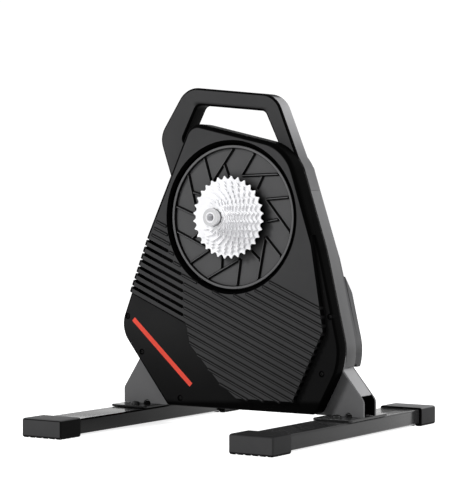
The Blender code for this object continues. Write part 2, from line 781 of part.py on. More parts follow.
def make_foot_bolts():
    head = FOOT_PLATE_TOP + GAP + FOOT_BOLT_HEAD
    seat = FOOT_PLATE_TOP + GAP
    tip = BAR_TOP_Z - BAR_WALL - FOOT_NUT
    socket = FOOT_BOLT_HEAD_RADIUS / 3
    floor = head - FOOT_BOLT_HEAD * SOCKET_SHARE
    edge = seat + FOOT_BOLT_HEAD_EDGE
    reach = FOOT_BOLT_HEAD_RADIUS - socket
    profile = [(0, -tip), (BOLT_RADIUS, -tip), (BOLT_RADIUS, -seat), (FOOT_BOLT_HEAD_RADIUS, -seat)]
    for step in range(DOME_STEPS + 1):
        angle = math.pi / 2 * step / DOME_STEPS
        profile.append((socket + reach * math.cos(angle), -edge - (head - edge) * math.sin(angle)))
    profile += [(socket, -floor), (0, -floor)]
    mesh = spun_mesh("foot_bolt", profile, (0, 0), 14)
    mesh.transform(Matrix.Rotation(math.radians(-90), 4, "X"))
    for side, word in ((-1, "left"), (1, "right")):
        for y, end_word in zip(foot_bolt_depths(), ("front", "rear")):
            link("foot_bolt_%s_%s" % (end_word, word), mesh, "grey_steel", at=(side * BAR_CENTRE_X, y, 0))


# Steel frame

def boss_ring(name, front_y, rear_y):
    outer = SHAFT_BEARING_RADIUS + GAP + BEARING_BOSS
    return cylinder_mesh(name, (FLYWHEEL_X, FLYWHEEL_Z), outer, front_y, rear_y, SEAT_STEPS)


def bearing_seat(name, low, high):
    bore = SHAFT_BEARING_RADIUS + GAP
    return cylinder_mesh(name, (FLYWHEEL_X, FLYWHEEL_Z), bore, low - PLATE, high + PLATE, SEAT_STEPS)


def add_posts(plate, name, places, front_y, rear_y):
    """Round posts welded to a plate, which carry the rear cover."""
    boolean(plate, cutter(name + "_posts", cylinders(name, places, POST_RADIUS, front_y, rear_y)), "UNION")


def cut_notches(plate, name, front_y):
    """Half-round notches in a plate's lower edge, beside the foot bolts."""
    places = [(x, LEG_BOTTOM_Z - FOOT_NOTCH_DROP) for x in FOOT_NOTCHES_X]
    notches = cylinders(name, places, FOOT_NOTCH_RADIUS, front_y - PLATE, front_y + 2 * PLATE, 16)
    boolean(plate, cutter(name + "_notches", notches))


def make_front_plate():
    name = "front_plate"
    body = [point for point in rounded(BODY_CORNERS)
            if point.y > (LEG_JOIN_Z_LEFT if point.x < 0 else LEG_JOIN_Z_RIGHT)]
    holes = [circle(place, SCREW_RADIUS + GAP, 10) for place in COVER_SCREWS]
    holes += [circle(place, BOLT_RADIUS + GAP, 12) for place in HANDLE_BOLTS]
    holes.append(circle((AXLE_X, AXLE_Z), AXLE_RADIUS + GAP, 24))
    holes.append(circle((IDLER_X, IDLER_Z), IDLER_BORE, 12))
    mesh = plate_mesh(name, [frame_outline(body)] + holes, FRAME_FRONT_Y, FRONT_PLATE_REAR_Y)
    plate = link(name, mesh, "grey_paint")
    low = FRONT_BEARING_Y + GAP
    high = FRONT_BEARING_Y + SHAFT_BEARING_WIDTH - GAP
    boolean(plate, cutter(name + "_boss", boss_ring(name, low, high)), "UNION")
    boolean(plate, cutter(name + "_bearing_seat", bearing_seat(name, low, high)))
    add_posts(plate, name, UPPER_POSTS, FRAME_FRONT_Y + PLATE / 2, REAR_FLAT_Y - REAR_COVER_WALL - GAP)
    cut_notches(plate, name, FRAME_FRONT_Y)


def make_rear_plate():
    name = "rear_plate"
    inner = inset(BODY_CORNERS, REAR_PLATE_INSET)
    left = side_run(inner, -1, LEG_JOIN_Z_LEFT + REAR_PLATE_INSET, REAR_PLATE_TOP_Z)
    right = side_run(inner, 1, LEG_JOIN_Z_RIGHT + REAR_PLATE_INSET, REAR_PLATE_TOP_Z)
    outline = frame_outline(left + right[::-1])
    plate = link(name, plate_mesh(name, [outline], REAR_PLATE_Y, FRAME_REAR_Y), "grey_paint")
    standoffs = cylinders(name, standoff_places(), STANDOFF_RADIUS, REAR_PLATE_Y + PLATE / 2,
                          FRAME_REAR_Y + STANDOFF)
    boolean(plate, cutter(name + "_standoffs", standoffs), "UNION")
    low = REAR_BEARING_Y + GAP
    high = REAR_BEARING_Y + SHAFT_BEARING_WIDTH - GAP
    boolean(plate, cutter(name + "_boss", boss_ring(name, low, high)), "UNION")
    boolean(plate, cutter(name + "_bearing_seat", bearing_seat(name, low, high)))
    add_posts(plate, name, LOWER_POSTS, REAR_PLATE_Y + PLATE / 2, BULGE_Y - REAR_COVER_WALL - GAP)
    cut_notches(plate, name, REAR_PLATE_Y)


def make_leg_web(side, word):
    """The bent strip that closes a leg between the plates, ending above the foot."""
    name = "leg_web_" + word
    top = Vector((leg_edge_x(side, WEB_TOP_Z), WEB_TOP_Z))
    low = Vector((leg_edge_x(side, WEB_LOW_Z), WEB_LOW_Z))
    along = (top - low).normalized()
    into = Vector((-along.y, along.x)) * side * WEB_THICKNESS
    outline = [low, top, top + into, low + into]
    link(name, plate_mesh(name, [outline], FRONT_PLATE_REAR_Y + GAP, REAR_PLATE_Y - GAP), "grey_paint")


def make_side_rail(side, word):
    """The bent strip along one side of the body, from the handle down to the leg."""
    name = "side_rail_" + word
    low = (LEG_JOIN_Z_RIGHT if side > 0 else LEG_JOIN_Z_LEFT) + RAIL_CLEARANCE
    high = HANDLE_CORNERS[0][1] - GAP
    outer = side_run(BODY_CORNERS, side, low, high)
    inner = side_run(inset(BODY_CORNERS, WEB_THICKNESS), side, low, high)
    mesh = plate_mesh(name, [outer + inner[::-1]], FRONT_PLATE_REAR_Y + GAP, BODY_REAR_Y)
    smooth_shade(mesh)
    link(name, mesh, "grey_paint")


def make_handle():
    name = "handle"
    mesh = plate_mesh(name, [rounded(HANDLE_CORNERS), rounded(HANDLE_OPENING)], FRAME_FRONT_Y, BODY_REAR_Y)
    round_edges(mesh, HANDLE_ROUND, FRAME_FRONT_Y)
    round_edges(mesh, HANDLE_ROUND, BODY_REAR_Y,
                keep=lambda edge: all(vert.co.z > HANDLE_EASE_Z for vert in edge.verts))
    handle = link(name, mesh, "grey_paint")
    seat_y = FRONT_PLATE_REAR_Y + GAP
    seat = plate_mesh(name, [rounded(inset(BODY_CORNERS, -GAP))], FRAME_FRONT_Y - PLATE, seat_y)
    boolean(handle, cutter(name + "_seat", seat))
    floor_y = seat_y + HANDLE_FLOOR
    pocket = plate_mesh(name, [rounded(HANDLE_POCKET)], floor_y, BODY_REAR_Y + PLATE)
    boolean(handle, cutter(name + "_pocket", pocket))
    holes = cylinders(name, HANDLE_BOLTS, BOLT_RADIUS + GAP, FRAME_FRONT_Y, floor_y + PLATE)
    boolean(handle, cutter(name + "_bolt_holes", holes))
    bolts(("handle_bolt_left", "handle_bolt_right"), HANDLE_BOLTS, BOLT_RADIUS, BOLT_HEAD_RADIUS,
          floor_y + GAP + BOLT_HEAD, floor_y + GAP, FRAME_FRONT_Y + GAP)


# Drive cover

def cover_prism(name, wall, face_y, bevel):
    """A prism of the body outline, less a wall, with its front edge rounded."""
    rear_y = COVER_REAR_Y + (PLATE if wall > 0 else 0)
    mesh = plate_mesh(name, [rounded(inset(BODY_CORNERS, wall))], face_y, rear_y)
    return round_edges(mesh, bevel, face_y)


def ledge_tool(name, wall):
    """What lies in front of the lower ledge, outside the boundary of the raised middle."""
    reach = 2 * max(abs(x) for x, z, radius in BODY_CORNERS)
    frame = [(-reach, -reach), (reach, -reach), (reach, 2 * reach), (-reach, 2 * reach)]
    boundary = rounded(inset(RAISED_CORNERS, wall))
    ledge_y = LEDGE_Y + wall
    depth = 0 if wall else LEDGE_ROUND + COVER_WALL
    return cutter(name, plate_mesh(name, [frame, boundary], COVER_FACE_Y - PLATE, ledge_y + depth))


def rib_height_at(index, x):
    return RIB_FIRST_Z - index * RIB_PITCH_Z + RIB_SLOPE * x


def slanted_bar(name, index, left, right, width, front_y, rear_y, end_round=0.0):
    """A bar along one rib line, between two places across the cover."""
    along = Vector((1, RIB_SLOPE)).normalized()
    across = Vector((-along.y, along.x)) * width / 2
    start = Vector((left, rib_height_at(index, left)))
    end = Vector((right, rib_height_at(index, right)))
    corners = [start - across, start + across, end + across, end - across]
    radii = (0, 0, end_round, end_round)
    outline = rounded([(place.x, place.y, radius) for place, radius in zip(corners, radii)])
    return plate_mesh(name, [outline], front_y, rear_y)


def rib_tool():
    name = "cover_ribs"
    reach = max(abs(x) for x, z, radius in BODY_CORNERS)
    rib_rear_y = LEDGE_Y + COVER_WALL / 2
    bars = [slanted_bar(name, k, -reach, reach, RIB_WIDTH, COVER_FACE_Y - RIB_HEIGHT, rib_rear_y)
            for k in range(RIB_COUNT)]
    ribs = cutter(name, joined(name, bars))
    wide = COVER_DEPTH
    edge = plate_mesh(name + "_edge", [rounded(inset(RAISED_CORNERS, -RIB_END_REACH))],
                      COVER_FACE_Y - wide, COVER_REAR_Y)
    boolean(ribs, cutter(name + "_edge", edge), "INTERSECT")
    flat = plate_mesh(name + "_flat", [rounded(inset(BODY_CORNERS, COVER_ROUND + GAP))],
                      COVER_FACE_Y - wide, COVER_REAR_Y)
    boolean(ribs, cutter(name + "_flat", flat), "INTERSECT")
    free = cylinder_mesh(name + "_free", (AXLE_X, AXLE_Z), RIB_FREE_RADIUS, COVER_FACE_Y - wide,
                         COVER_REAR_Y, FREE_STEPS)
    boolean(ribs, cutter(name + "_free", free))
    return ribs


def slot_end_x(index):
    """The right end of a slot: a set line, or the clear circle round the opening."""
    x = SLOT_END_X
    while math.hypot(x - AXLE_X, rib_height_at(index, x) - AXLE_Z) < SLOT_CLEAR_RADIUS:
        x -= SLOT_WIDTH / 8
    return x


def slot_meshes():
    reach = max(abs(x) for x, z, radius in BODY_CORNERS) + COVER_DEPTH
    return [slanted_bar("cover_slots", k, -reach, slot_end_x(k), SLOT_WIDTH, COVER_FACE_Y - COVER_WALL,
                        COVER_FACE_Y + SLOT_DEPTH, SLOT_WIDTH * 0.45)
            for k in range(SLOT_FIRST_RIB, SLOT_FIRST_RIB + SLOT_COUNT)]


def make_drive_cover():
    name = "drive_cover"
    cover = link(name, cover_prism(name, 0, COVER_FACE_Y, COVER_ROUND), "black_plastic")
    step = ledge_tool("cover_ledge", 0)
    boolean(step, cutter("cover_ledge_form", cover_prism("cover_ledge_form", -GAP, LEDGE_Y, LEDGE_ROUND)))
    boolean(cover, step)
    boolean(cover, rib_tool(), "UNION")
    room = cutter("cover_room", cover_prism("cover_room", COVER_WALL, COVER_FACE_Y + COVER_WALL,
                                            COVER_ROUND - COVER_WALL))
    boolean(room, ledge_tool("cover_room_ledge", COVER_WALL))
    boolean(cover, room)
    lip_y = COVER_FACE_Y + OPENING_BEVEL + 2 * COVER_WALL
    lip_bore = OPENING_RADIUS - COVER_WALL
    axle = (AXLE_X, AXLE_Z)
    lip_profile = tube_profile(lip_bore, OPENING_RADIUS + OPENING_LIP, COVER_FACE_Y + GAP, lip_y)
    lip = spun_mesh(name, lip_profile, axle, OPENING_STEPS)
    bosses = cylinders(name, COVER_SCREWS, SCREW_BOSS, LEDGE_Y + COVER_WALL / 2, COVER_REAR_Y - GAP, 8)
    boolean(cover, cutter(name + "_additions", joined(name, [lip, bosses])), "UNION")
    seat_y = LEDGE_Y + SCREW_SINK
    head = SCREW_HEAD + 2 * GAP
    shank = SCREW_RADIUS + GAP
    cuts = [spun_mesh(name, [(0, COVER_REAR_Y), (OPENING_RADIUS, COVER_REAR_Y),
                             (OPENING_RADIUS, COVER_FACE_Y + OPENING_BEVEL),
                             (OPENING_RADIUS + OPENING_BEVEL + PLATE, COVER_FACE_Y - PLATE),
                             (0, COVER_FACE_Y - PLATE)], axle, OPENING_STEPS)]
    cuts += [spun_mesh(name, [(0, COVER_REAR_Y + PLATE), (shank, COVER_REAR_Y + PLATE), (shank, seat_y),
                              (head, seat_y), (head, LEDGE_Y - PLATE), (0, LEDGE_Y - PLATE)], place, 8)
             for place in COVER_SCREWS]
    boolean(cover, cutter(name + "_openings", joined(name, cuts + slot_meshes())))
    names = ["cover_screw_%d" % (k + 1) for k in range(len(COVER_SCREWS))]
    bolts(names, COVER_SCREWS, SCREW_RADIUS, SCREW_HEAD, LEDGE_Y + GAP, seat_y - GAP, FRONT_PLATE_REAR_Y,
          socket=SCREW_HEAD * 0.4, steps=8)


# Axle and belt wheel

def make_axle_group():
    turned("axle", tube_profile(AXLE_BORE, AXLE_RADIUS, DRIVE_CAP_SEAT_Y + GAP, AXLE_REAR_END_Y),
           "grey_steel", at=AXLE, steps=20)
    front = FRONT_PLATE_REAR_Y + GAP
    back = front + AXLE_FLANGE
    inner = AXLE_RADIUS + GAP
    turned("axle_boss", [(inner, BODY_REAR_Y), (AXLE_BOSS_RADIUS, BODY_REAR_Y), (AXLE_BOSS_RADIUS, back),
           (AXLE_FLANGE_RADIUS, back), (AXLE_FLANGE_RADIUS, front), (inner, front)],
           "grey_steel", at=AXLE, steps=20)
    for name, low, high in (("drive_end_cap", DRIVE_CAP_END_Y, DRIVE_CAP_SEAT_Y),
                            ("rear_end_cap", BODY_REAR_Y + GAP, REAR_CAP_END_Y)):
        turned(name, tube_profile(AXLE_BORE, END_CAP_RADIUS, low, high, CHAMFER), "aluminium", at=AXLE,
               steps=20)


def make_belt_wheel(parent):
    ease = EASE
    inner_rim = INNER_RIM_RADIUS
    drum_wall = BELT_SEAT_RADIUS - DISC_WEB
    drum_end = BELT_REAR_Y + DRUM_REACH
    bore = HUB_BEARING_RADIUS + GAP
    profile = [
        (RIM_RADIUS - ease, RIM_FRONT_Y), (inner_rim, RIM_FRONT_Y), (inner_rim, DISC_FACE_Y),
        (bore, DISC_FACE_Y), (bore, HUB_REAR_Y), (HUB_RADIUS, HUB_REAR_Y),
        (HUB_RADIUS, DISC_BACK_Y), (drum_wall, DISC_BACK_Y), (drum_wall, drum_end),
        (BELT_SEAT_RADIUS, drum_end), (BELT_SEAT_RADIUS, DISC_BACK_Y), (RIM_RADIUS, DISC_BACK_Y),
        (RIM_RADIUS, RIM_FRONT_Y + ease),
    ]
    wheel = turned("belt_wheel", profile, "dark_disc", parent, steps=OPENING_STEPS)
    boolean(wheel, turbine_tool(), "UNION", use_self=True)
    for name, low in (("hub_bearing_front", DISC_FACE_Y + BEARING_SETBACK),
                      ("hub_bearing_rear", HUB_REAR_Y - BEARING_SETBACK - HUB_BEARING_WIDTH)):
        turned(name, tube_profile(AXLE_RADIUS + GAP, HUB_BEARING_RADIUS, low, low + HUB_BEARING_WIDTH),
               "grey_steel", parent, steps=20)


def turbine_tool():
    """The thin ribs on the face of the belt wheel: three per sector, seven sectors."""
    ribs = []
    front_y = DISC_FACE_Y - TURBINE_RIB_HEIGHT
    for sector in range(TURBINE_SECTORS):
        turn = math.tau * sector / TURBINE_SECTORS
        for outer_inset, outer_angle, inner_inset, inner_angle in TURBINE_RIBS:
            outer = INNER_RIM_RADIUS - outer_inset
            inner = INNER_RIM_RADIUS - inner_inset
            far = turn + math.radians(outer_angle)
            near = turn + math.radians(inner_angle)
            start = Vector((outer * math.cos(far), outer * math.sin(far)))
            end = Vector((inner * math.cos(near), inner * math.sin(near)))
            along = (end - start).normalized()
            across = Vector((-along.y, along.x)) * TURBINE_RIB_WIDTH / 2
            outline = [start - across, end - across, end + across, start + across]
            ribs.append(plate_mesh("turbine_ribs", [outline], front_y, DISC_FACE_Y + DISC_WEB / 2))
    mesh = joined("turbine_ribs", ribs)
    mesh.transform(Matrix.Translation(AXLE))
    return cutter("turbine_ribs", mesh)


# Sprockets

def sprocket_outline(teeth):
    """A chain sprocket: a shallow valley for each roller, and short tapered teeth between them."""
    step = math.tau / teeth
    pitch_radius = CHAIN_PITCH / (2 * math.sin(step / 2))
    root = pitch_radius - ROLLER_RADIUS
    shoulder = pitch_radius - TOOTH_SHOULDER
    tip = pitch_radius + TOOTH_RISE
    points = []
    for tooth in range(teeth):
        for share, radius in ((-0.5, root), (-TOOTH_FOOT_SHARE, shoulder), (-TOOTH_TIP_SHARE, tip),
                              (TOOTH_TIP_SHARE, tip), (TOOTH_FOOT_SHARE, shoulder)):
            angle = (tooth + share) * step
            points.append(Vector((radius * math.cos(angle), radius * math.sin(angle))))
    return points, root


def sprocket_windows(root):
    """The openings between the arms of a large sprocket."""
    outer = root - RING_DEPTH
    windows = []
    for arm in range(ARM_COUNT):
        middle = math.tau * (arm + 0.5) / ARM_COUNT
        half = math.pi / ARM_COUNT * (1 - ARM_SHARE)
        inner_half = half * ARM_TAPER
        corners = [
            (outer, -half), (outer, 0), (outer, half), (ARM_HUB_RADIUS, inner_half),
            (ARM_HUB_RADIUS, -inner_half),
        ]
        windows.append([Vector((radius * math.cos(middle + angle), radius * math.sin(middle + angle)))
                        for radius, angle in corners])
    return windows


def sprocket_mesh(name, teeth, middle):
    outline, root = sprocket_outline(teeth)
    outlines = [outline, around((0, 0), SPLINE_RADIUS + GAP, BORE_STEPS)]
    if teeth >= ARM_TEETH:
        outlines += sprocket_windows(root)
    return plate_mesh(name, outlines, middle - SPROCKET_THICKNESS / 2, middle + SPROCKET_THICKNESS / 2)


def make_sprockets(parent):
    """Loose small sprockets, then two riveted groups. Each carries the spacer behind it."""
    spacer = [circle((0, 0), SPACER_RADIUS, BORE_STEPS), around((0, 0), SPLINE_RADIUS + 2 * GAP, BORE_STEPS)]
    order = 0
    for group in SPROCKET_GROUPS:
        name = "sprocket_%02dt" % group[0]
        if len(group) > 1:
            name = "sprockets_%dt_to_%dt" % (group[0], group[-1])
        item = None
        for teeth in group:
            middle = SPROCKET_FRONT_Y + order * SPROCKET_STEP
            mesh = sprocket_mesh(name, teeth, middle)
            if item is None:
                item = link(name, mesh, "silver_steel", parent)
            else:
                mesh.transform(Matrix.Translation(AXLE))
                boolean(item, cutter("%s_%d" % (name, teeth), mesh), "UNION")
            order += 1
            if order < SPROCKET_COUNT:
                loose = teeth == group[-1]
                reach = SPROCKET_STEP - (SPROCKET_THICKNESS / 2 + GAP if loose else SPROCKET_THICKNESS / 4)
                ring = plate_mesh(name, spacer, middle + SPROCKET_THICKNESS / 4, middle + reach)
                ring.transform(Matrix.Translation(AXLE))
                boolean(item, cutter("%s_spacer_%d" % (name, teeth), ring), "UNION")
    turned("lockring", tube_profile(FREEHUB_BORE + PLATE / 4, LOCKRING_RADIUS, LOCKRING_Y - LOCKRING_WIDTH,
           LOCKRING_Y, CHAMFER), "silver_steel", parent, steps=20)


def make_freehub(parent):
    flange_y = LARGEST_SPROCKET_Y + SPROCKET_THICKNESS / 2 + GAP
    flange = SPLINE_RADIUS + PLATE
    bore = FREEHUB_BORE
    front = LOCKRING_Y + GAP
    turned("freehub", [(bore, FREEHUB_REAR_Y), (flange, FREEHUB_REAR_Y), (flange, flange_y),
           (SPLINE_RADIUS, flange_y), (SPLINE_RADIUS, front), (bore, front)], "aluminium", parent, steps=20)
    turned("freehub_bearing", tube_profile(AXLE_RADIUS + GAP, bore - GAP, front + BEARING_SETBACK,
           FREEHUB_REAR_Y - BEARING_SETBACK), "grey_steel", parent, steps=20)


# Flywheel, brake and belt

def make_flywheel(parent):
    hub_rear = FLYWHEEL_FRONT_Y + FLYWHEEL_WEB + PLATE
    web_rear = FLYWHEEL_FRONT_Y + FLYWHEEL_WEB
    rim_inner = FLYWHEEL_RADIUS - FLYWHEEL_RIM
    bore = SHAFT_RADIUS + GAP
    ease = EASE
    profile = [
        (bore, FLYWHEEL_FRONT_Y), (FLYWHEEL_RADIUS - ease, FLYWHEEL_FRONT_Y),
        (FLYWHEEL_RADIUS, FLYWHEEL_FRONT_Y + ease), (FLYWHEEL_RADIUS, FLYWHEEL_REAR_Y - ease),
        (FLYWHEEL_RADIUS - ease, FLYWHEEL_REAR_Y), (rim_inner, FLYWHEEL_REAR_Y), (rim_inner, web_rear),
        (FLYWHEEL_HUB, web_rear), (FLYWHEEL_HUB, hub_rear), (bore, hub_rear),
    ]
    turned("flywheel", profile, "grey_steel", parent, steps=36)
    shaft_front = BELT_FRONT_Y - SHAFT_REACH
    shaft_rear = REAR_BEARING_Y + SHAFT_BEARING_WIDTH + EASE
    shaft = [(0, shaft_front), (SHAFT_RADIUS, shaft_front), (SHAFT_RADIUS, shaft_rear), (0, shaft_rear)]
    turned("flywheel_shaft", shaft, "silver_steel", parent, steps=20)
    flange = SMALL_PULLEY_RADIUS + SMALL_PULLEY_FLANGE
    front = BELT_FRONT_Y - GAP
    rear = BELT_REAR_Y + GAP
    pulley = [
        (bore, front - ease), (flange, front - ease), (flange, front), (SMALL_PULLEY_RADIUS, front),
        (SMALL_PULLEY_RADIUS, rear), (flange, rear), (flange, rear + ease), (bore, rear + ease),
    ]
    turned("small_pulley", pulley, "aluminium", parent, steps=20)


def make_shaft_bearings():
    for name, low in (("shaft_bearing_front", FRONT_BEARING_Y), ("shaft_bearing_rear", REAR_BEARING_Y)):
        turned(name, tube_profile(SHAFT_RADIUS + GAP, SHAFT_BEARING_RADIUS, low, low + SHAFT_BEARING_WIDTH),
               "grey_steel", at=FLYWHEEL, steps=20)


def make_brake():
    front = FLYWHEEL_FRONT_Y + CORE_SETBACK
    rear = front + CORE_DEPTH
    outline = []
    step = math.tau / POLE_COUNT
    root_half = math.asin(POLE_WIDTH / 2 / CORE_RADIUS)
    neck = POLE_REACH - POLE_TIP
    neck_half = math.asin(POLE_WIDTH / 2 / neck)
    head_half = math.asin((POLE_WIDTH / 2 + POLE_HEAD) / POLE_REACH)
    for pole in range(POLE_COUNT):
        for half, radius in ((-root_half, CORE_RADIUS), (-neck_half, neck), (-head_half, neck),
                             (-head_half, POLE_REACH), (head_half, POLE_REACH), (head_half, neck),
                             (neck_half, neck), (root_half, CORE_RADIUS)):
            angle = pole * step + half
            outline.append((FLYWHEEL_X + radius * math.cos(angle), FLYWHEEL_Z + radius * math.sin(angle)))
    bore = circle((FLYWHEEL_X, FLYWHEEL_Z), CORE_BORE, 28)
    core = link("brake_core", plate_mesh("brake_core", [outline, bore], front, rear), "grey_steel")
    carrier = [circle((FLYWHEEL_X, FLYWHEEL_Z), CORE_RADIUS - GAP, 28), bore]
    link("brake_carrier", plate_mesh("brake_carrier", carrier, rear + GAP, REAR_PLATE_Y - GAP), "aluminium")
    low = CORE_RADIUS + COIL_THICKNESS
    high = neck - COIL_THICKNESS / 2
    half = POLE_WIDTH / 2 + COIL_THICKNESS
    deep = CORE_DEPTH / 2 + COIL_THICKNESS
    coils = []
    for pole in range(POLE_COUNT):
        coil = block_mesh("brake_coils", (low, -deep, -half), (high, deep, half))
        place = Matrix.Translation((FLYWHEEL_X, (front + rear) / 2, FLYWHEEL_Z))
        coil.transform(place @ Matrix.Rotation(pole * step, 4, "Y"))
        coils.append(coil)
    boolean(core, cutter("brake_coils", joined("brake_coils", coils)), "UNION")


def belt_outlines():
    """The belt as two outlines: inside the two pulleys' wrap, outside the idler's."""
    half = BELT_THICKNESS / 2
    wheels = [(Vector((AXLE_X, AXLE_Z)), BELT_SEAT_RADIUS, 1),
              (Vector((FLYWHEEL_X, FLYWHEEL_Z)), SMALL_PULLEY_RADIUS, 1),
              (Vector((IDLER_X, IDLER_Z)), IDLER_RADIUS, -1)]
    headings = []
    for index, (centre, radius, turn) in enumerate(wheels):
        ahead, ahead_radius, ahead_turn = wheels[(index + 1) % len(wheels)]
        across = ahead - centre
        offset = ahead_turn * (ahead_radius + GAP + half) - turn * (radius + GAP + half)
        headings.append(math.atan2(across.y, across.x) - math.asin(offset / across.length))
    outlines = []
    for side in (1, -1):
        points = []
        for index, (centre, radius, turn) in enumerate(wheels):
            arc = radius + GAP + half + side * turn * half
            start = headings[index - 1] - turn * math.pi / 2
            sweep = (headings[index] - headings[index - 1]) * turn % math.tau
            steps = max(3, math.ceil(sweep / math.radians(9)))
            arc /= math.cos(sweep / steps / 2)
            for step in range(steps + 1):
                angle = start + turn * sweep * step / steps
                points.append(centre + arc * Vector((math.cos(angle), math.sin(angle))))
        outlines.append(points)
    return outlines


def make_belt(idler_axis):
    link("drive_belt", plate_mesh("drive_belt", belt_outlines(), BELT_FRONT_Y, BELT_REAR_Y), "belt_rubber")
    low = BELT_FRONT_Y - GAP
    high = BELT_REAR_Y + GAP
    turned("idler_wheel", tube_profile(IDLER_BORE, IDLER_RADIUS, low, high, CHAMFER), "aluminium",
           idler_axis, steps=20)
    head = low - GAP
    bolts(["idler_bolt"], [(IDLER_X, IDLER_Z)], IDLER_BORE - GAP, IDLER_BOLT_HEAD,
          head - IDLER_BOLT_RISE, head, FRONT_PLATE_REAR_Y, socket=BOLT_RADIUS, steps=16)


# Rear cover and electronics

def rear_prism(name, wall, flat_y, bevel):
    """The body outline less a wall, cut off above the legs, with its rear edge rounded."""
    front_y = REAR_RIM_Y - (PLATE if wall else 0)
    mesh = plate_mesh(name, [rounded(inset(BODY_CORNERS, wall))], front_y, flat_y)
    shape = bmesh.new()
    shape.from_mesh(mesh)
    bmesh.ops.bisect_plane(shape, geom=shape.verts[:] + shape.edges[:] + shape.faces[:],
                           plane_co=(0, 0, REAR_COVER_BOTTOM_Z + wall), plane_no=(0, 0, -1), clear_outer=True)
    bmesh.ops.remove_doubles(shape, verts=shape.verts, dist=WELD)
    bmesh.ops.holes_fill(shape, edges=[edge for edge in shape.edges if edge.is_boundary])
    bmesh.ops.recalc_face_normals(shape, faces=shape.faces)
    shape.to_mesh(mesh)
    shape.free()
    return round_edges(mesh, bevel, flat_y)


def rear_step_tool(name, wall):
    """What lies behind the flat upper part and above the slope that leads to the deep part."""
    reach = 2 * max(z for x, z, radius in BODY_CORNERS)
    flat_y = REAR_FLAT_Y - wall
    top_z = BULGE_TOP_Z - wall
    fall = BULGE_SLOPE / (BULGE_Y - REAR_FLAT_Y)
    far_y = BULGE_Y + PLATE
    profile = [(flat_y, reach), (flat_y, top_z), (far_y, top_z - (far_y - flat_y) * fall), (far_y, reach)]
    mesh = plate_mesh(name, [profile], -reach, reach)
    mesh.transform(Matrix.Rotation(math.radians(90), 4, "Z"))
    return cutter(name, mesh)


def make_rear_cover():
    name = "rear_cover"
    wall = REAR_COVER_WALL
    cover = link(name, rear_prism(name, 0, BULGE_Y, REAR_ROUND), "grey_paint")
    boolean(cover, rear_step_tool("rear_step", 0))
    room = cutter("rear_room", rear_prism("rear_room", wall, BULGE_Y - wall, REAR_ROUND - wall))
    boolean(room, rear_step_tool("rear_room_step", wall))
    boolean(cover, room)
    heads = [cylinders(name, places, SCREW_HEAD, seat - wall / 2, seat + SCREW_HEAD / 2)
             for places, seat in ((LOWER_POSTS, BULGE_Y), (UPPER_POSTS, REAR_FLAT_Y))]
    boolean(cover, cutter(name + "_screws", joined(name, heads)), "UNION")
    slots = [block_mesh(name, (min(0, end_x), REAR_RIM_Y - PLATE, REAR_COVER_BOTTOM_Z - PLATE),
                        (max(0, end_x), FRAME_REAR_Y + GAP, REAR_COVER_BOTTOM_Z + rise))
             for end_x, rise in ((-LEG_HALF_SPAN, LEG_SLOT_RISE_LEFT), (LEG_HALF_SPAN, LEG_SLOT_RISE_RIGHT))]
    axle_hole = cylinder_mesh(name, (AXLE_X, AXLE_Z), END_CAP_RADIUS + RUNNING_GAP, BODY_REAR_Y, BULGE_Y, 28)
    inlet_hole = cylinder_mesh(name, INLET_PLACE, INLET_RADIUS + GAP, FRAME_REAR_Y + PLATE,
                               BULGE_Y + PLATE, 20)
    boolean(cover, cutter(name + "_openings", joined(name, slots + [axle_hole, inlet_hole])))


def standoff_places():
    half_x = BOARD_SIZE[0] / 2 - STANDOFF_RADIUS
    half_z = BOARD_SIZE[1] / 2 - STANDOFF_RADIUS
    return [(BOARD_CENTRE[0] + a * half_x, BOARD_CENTRE[1] + b * half_z) for a in (-1, 1) for b in (-1, 1)]


def make_electronics():
    top_y = FRAME_REAR_Y + STANDOFF
    half_x = BOARD_SIZE[0] / 2
    half_z = BOARD_SIZE[1] / 2
    board = block_mesh("circuit_board",
                       (BOARD_CENTRE[0] - half_x, top_y + GAP, BOARD_CENTRE[1] - half_z),
                       (BOARD_CENTRE[0] + half_x, top_y + GAP + BOARD_THICKNESS, BOARD_CENTRE[1] + half_z))
    link("circuit_board", board, "board_green")
    outer = BULGE_Y + GAP
    floor = outer - INLET_LENGTH * 0.8
    profile = [(0, outer - INLET_LENGTH), (INLET_RADIUS, outer - INLET_LENGTH), (INLET_RADIUS, outer),
               (INLET_FLANGE, outer), (INLET_FLANGE, outer + INLET_LIP), (INLET_HOLE, outer + INLET_LIP),
               (INLET_HOLE, floor), (0, floor)]
    link("power_inlet", spun_mesh("power_inlet", profile, INLET_PLACE, 20), "black_plastic")


# Assembly

FRONT_BEARING_Y = FRAME_FRONT_Y - (SHAFT_BEARING_WIDTH - PLATE) / 2
REAR_BEARING_Y = REAR_PLATE_Y - (SHAFT_BEARING_WIDTH - PLATE) / 2

clear_scene()
PARTS = new_collection("bike_trainer")
CUTTERS = new_collection("cutting_tools")

for side, word in ((-1, "left"), (1, "right")):
    make_floor_bar(side, word)
    make_foot_plate(side, word)
    make_leg_web(side, word)
    make_side_rail(side, word)
    for end, end_word in ((-1, "front"), (1, "rear")):
        make_end_cap(side, word, end, end_word)
make_foot_bolts()
make_front_plate()
make_rear_plate()
make_handle()
make_drive_cover()
make_axle_group()

wheel_axis = axis_empty("belt_wheel_axis", AXLE)
sprocket_axis = axis_empty("sprocket_axis", (0, 0, 0))
sprocket_axis.parent = wheel_axis
make_belt_wheel(wheel_axis)
make_freehub(sprocket_axis)
make_sprockets(sprocket_axis)

flywheel_axis = axis_empty("flywheel_axis", FLYWHEEL)
make_flywheel(flywheel_axis)
make_shaft_bearings()
make_brake()
idler_axis = axis_empty("idler_axis", IDLER)
make_belt(idler_axis)

make_rear_cover()
make_electronics()
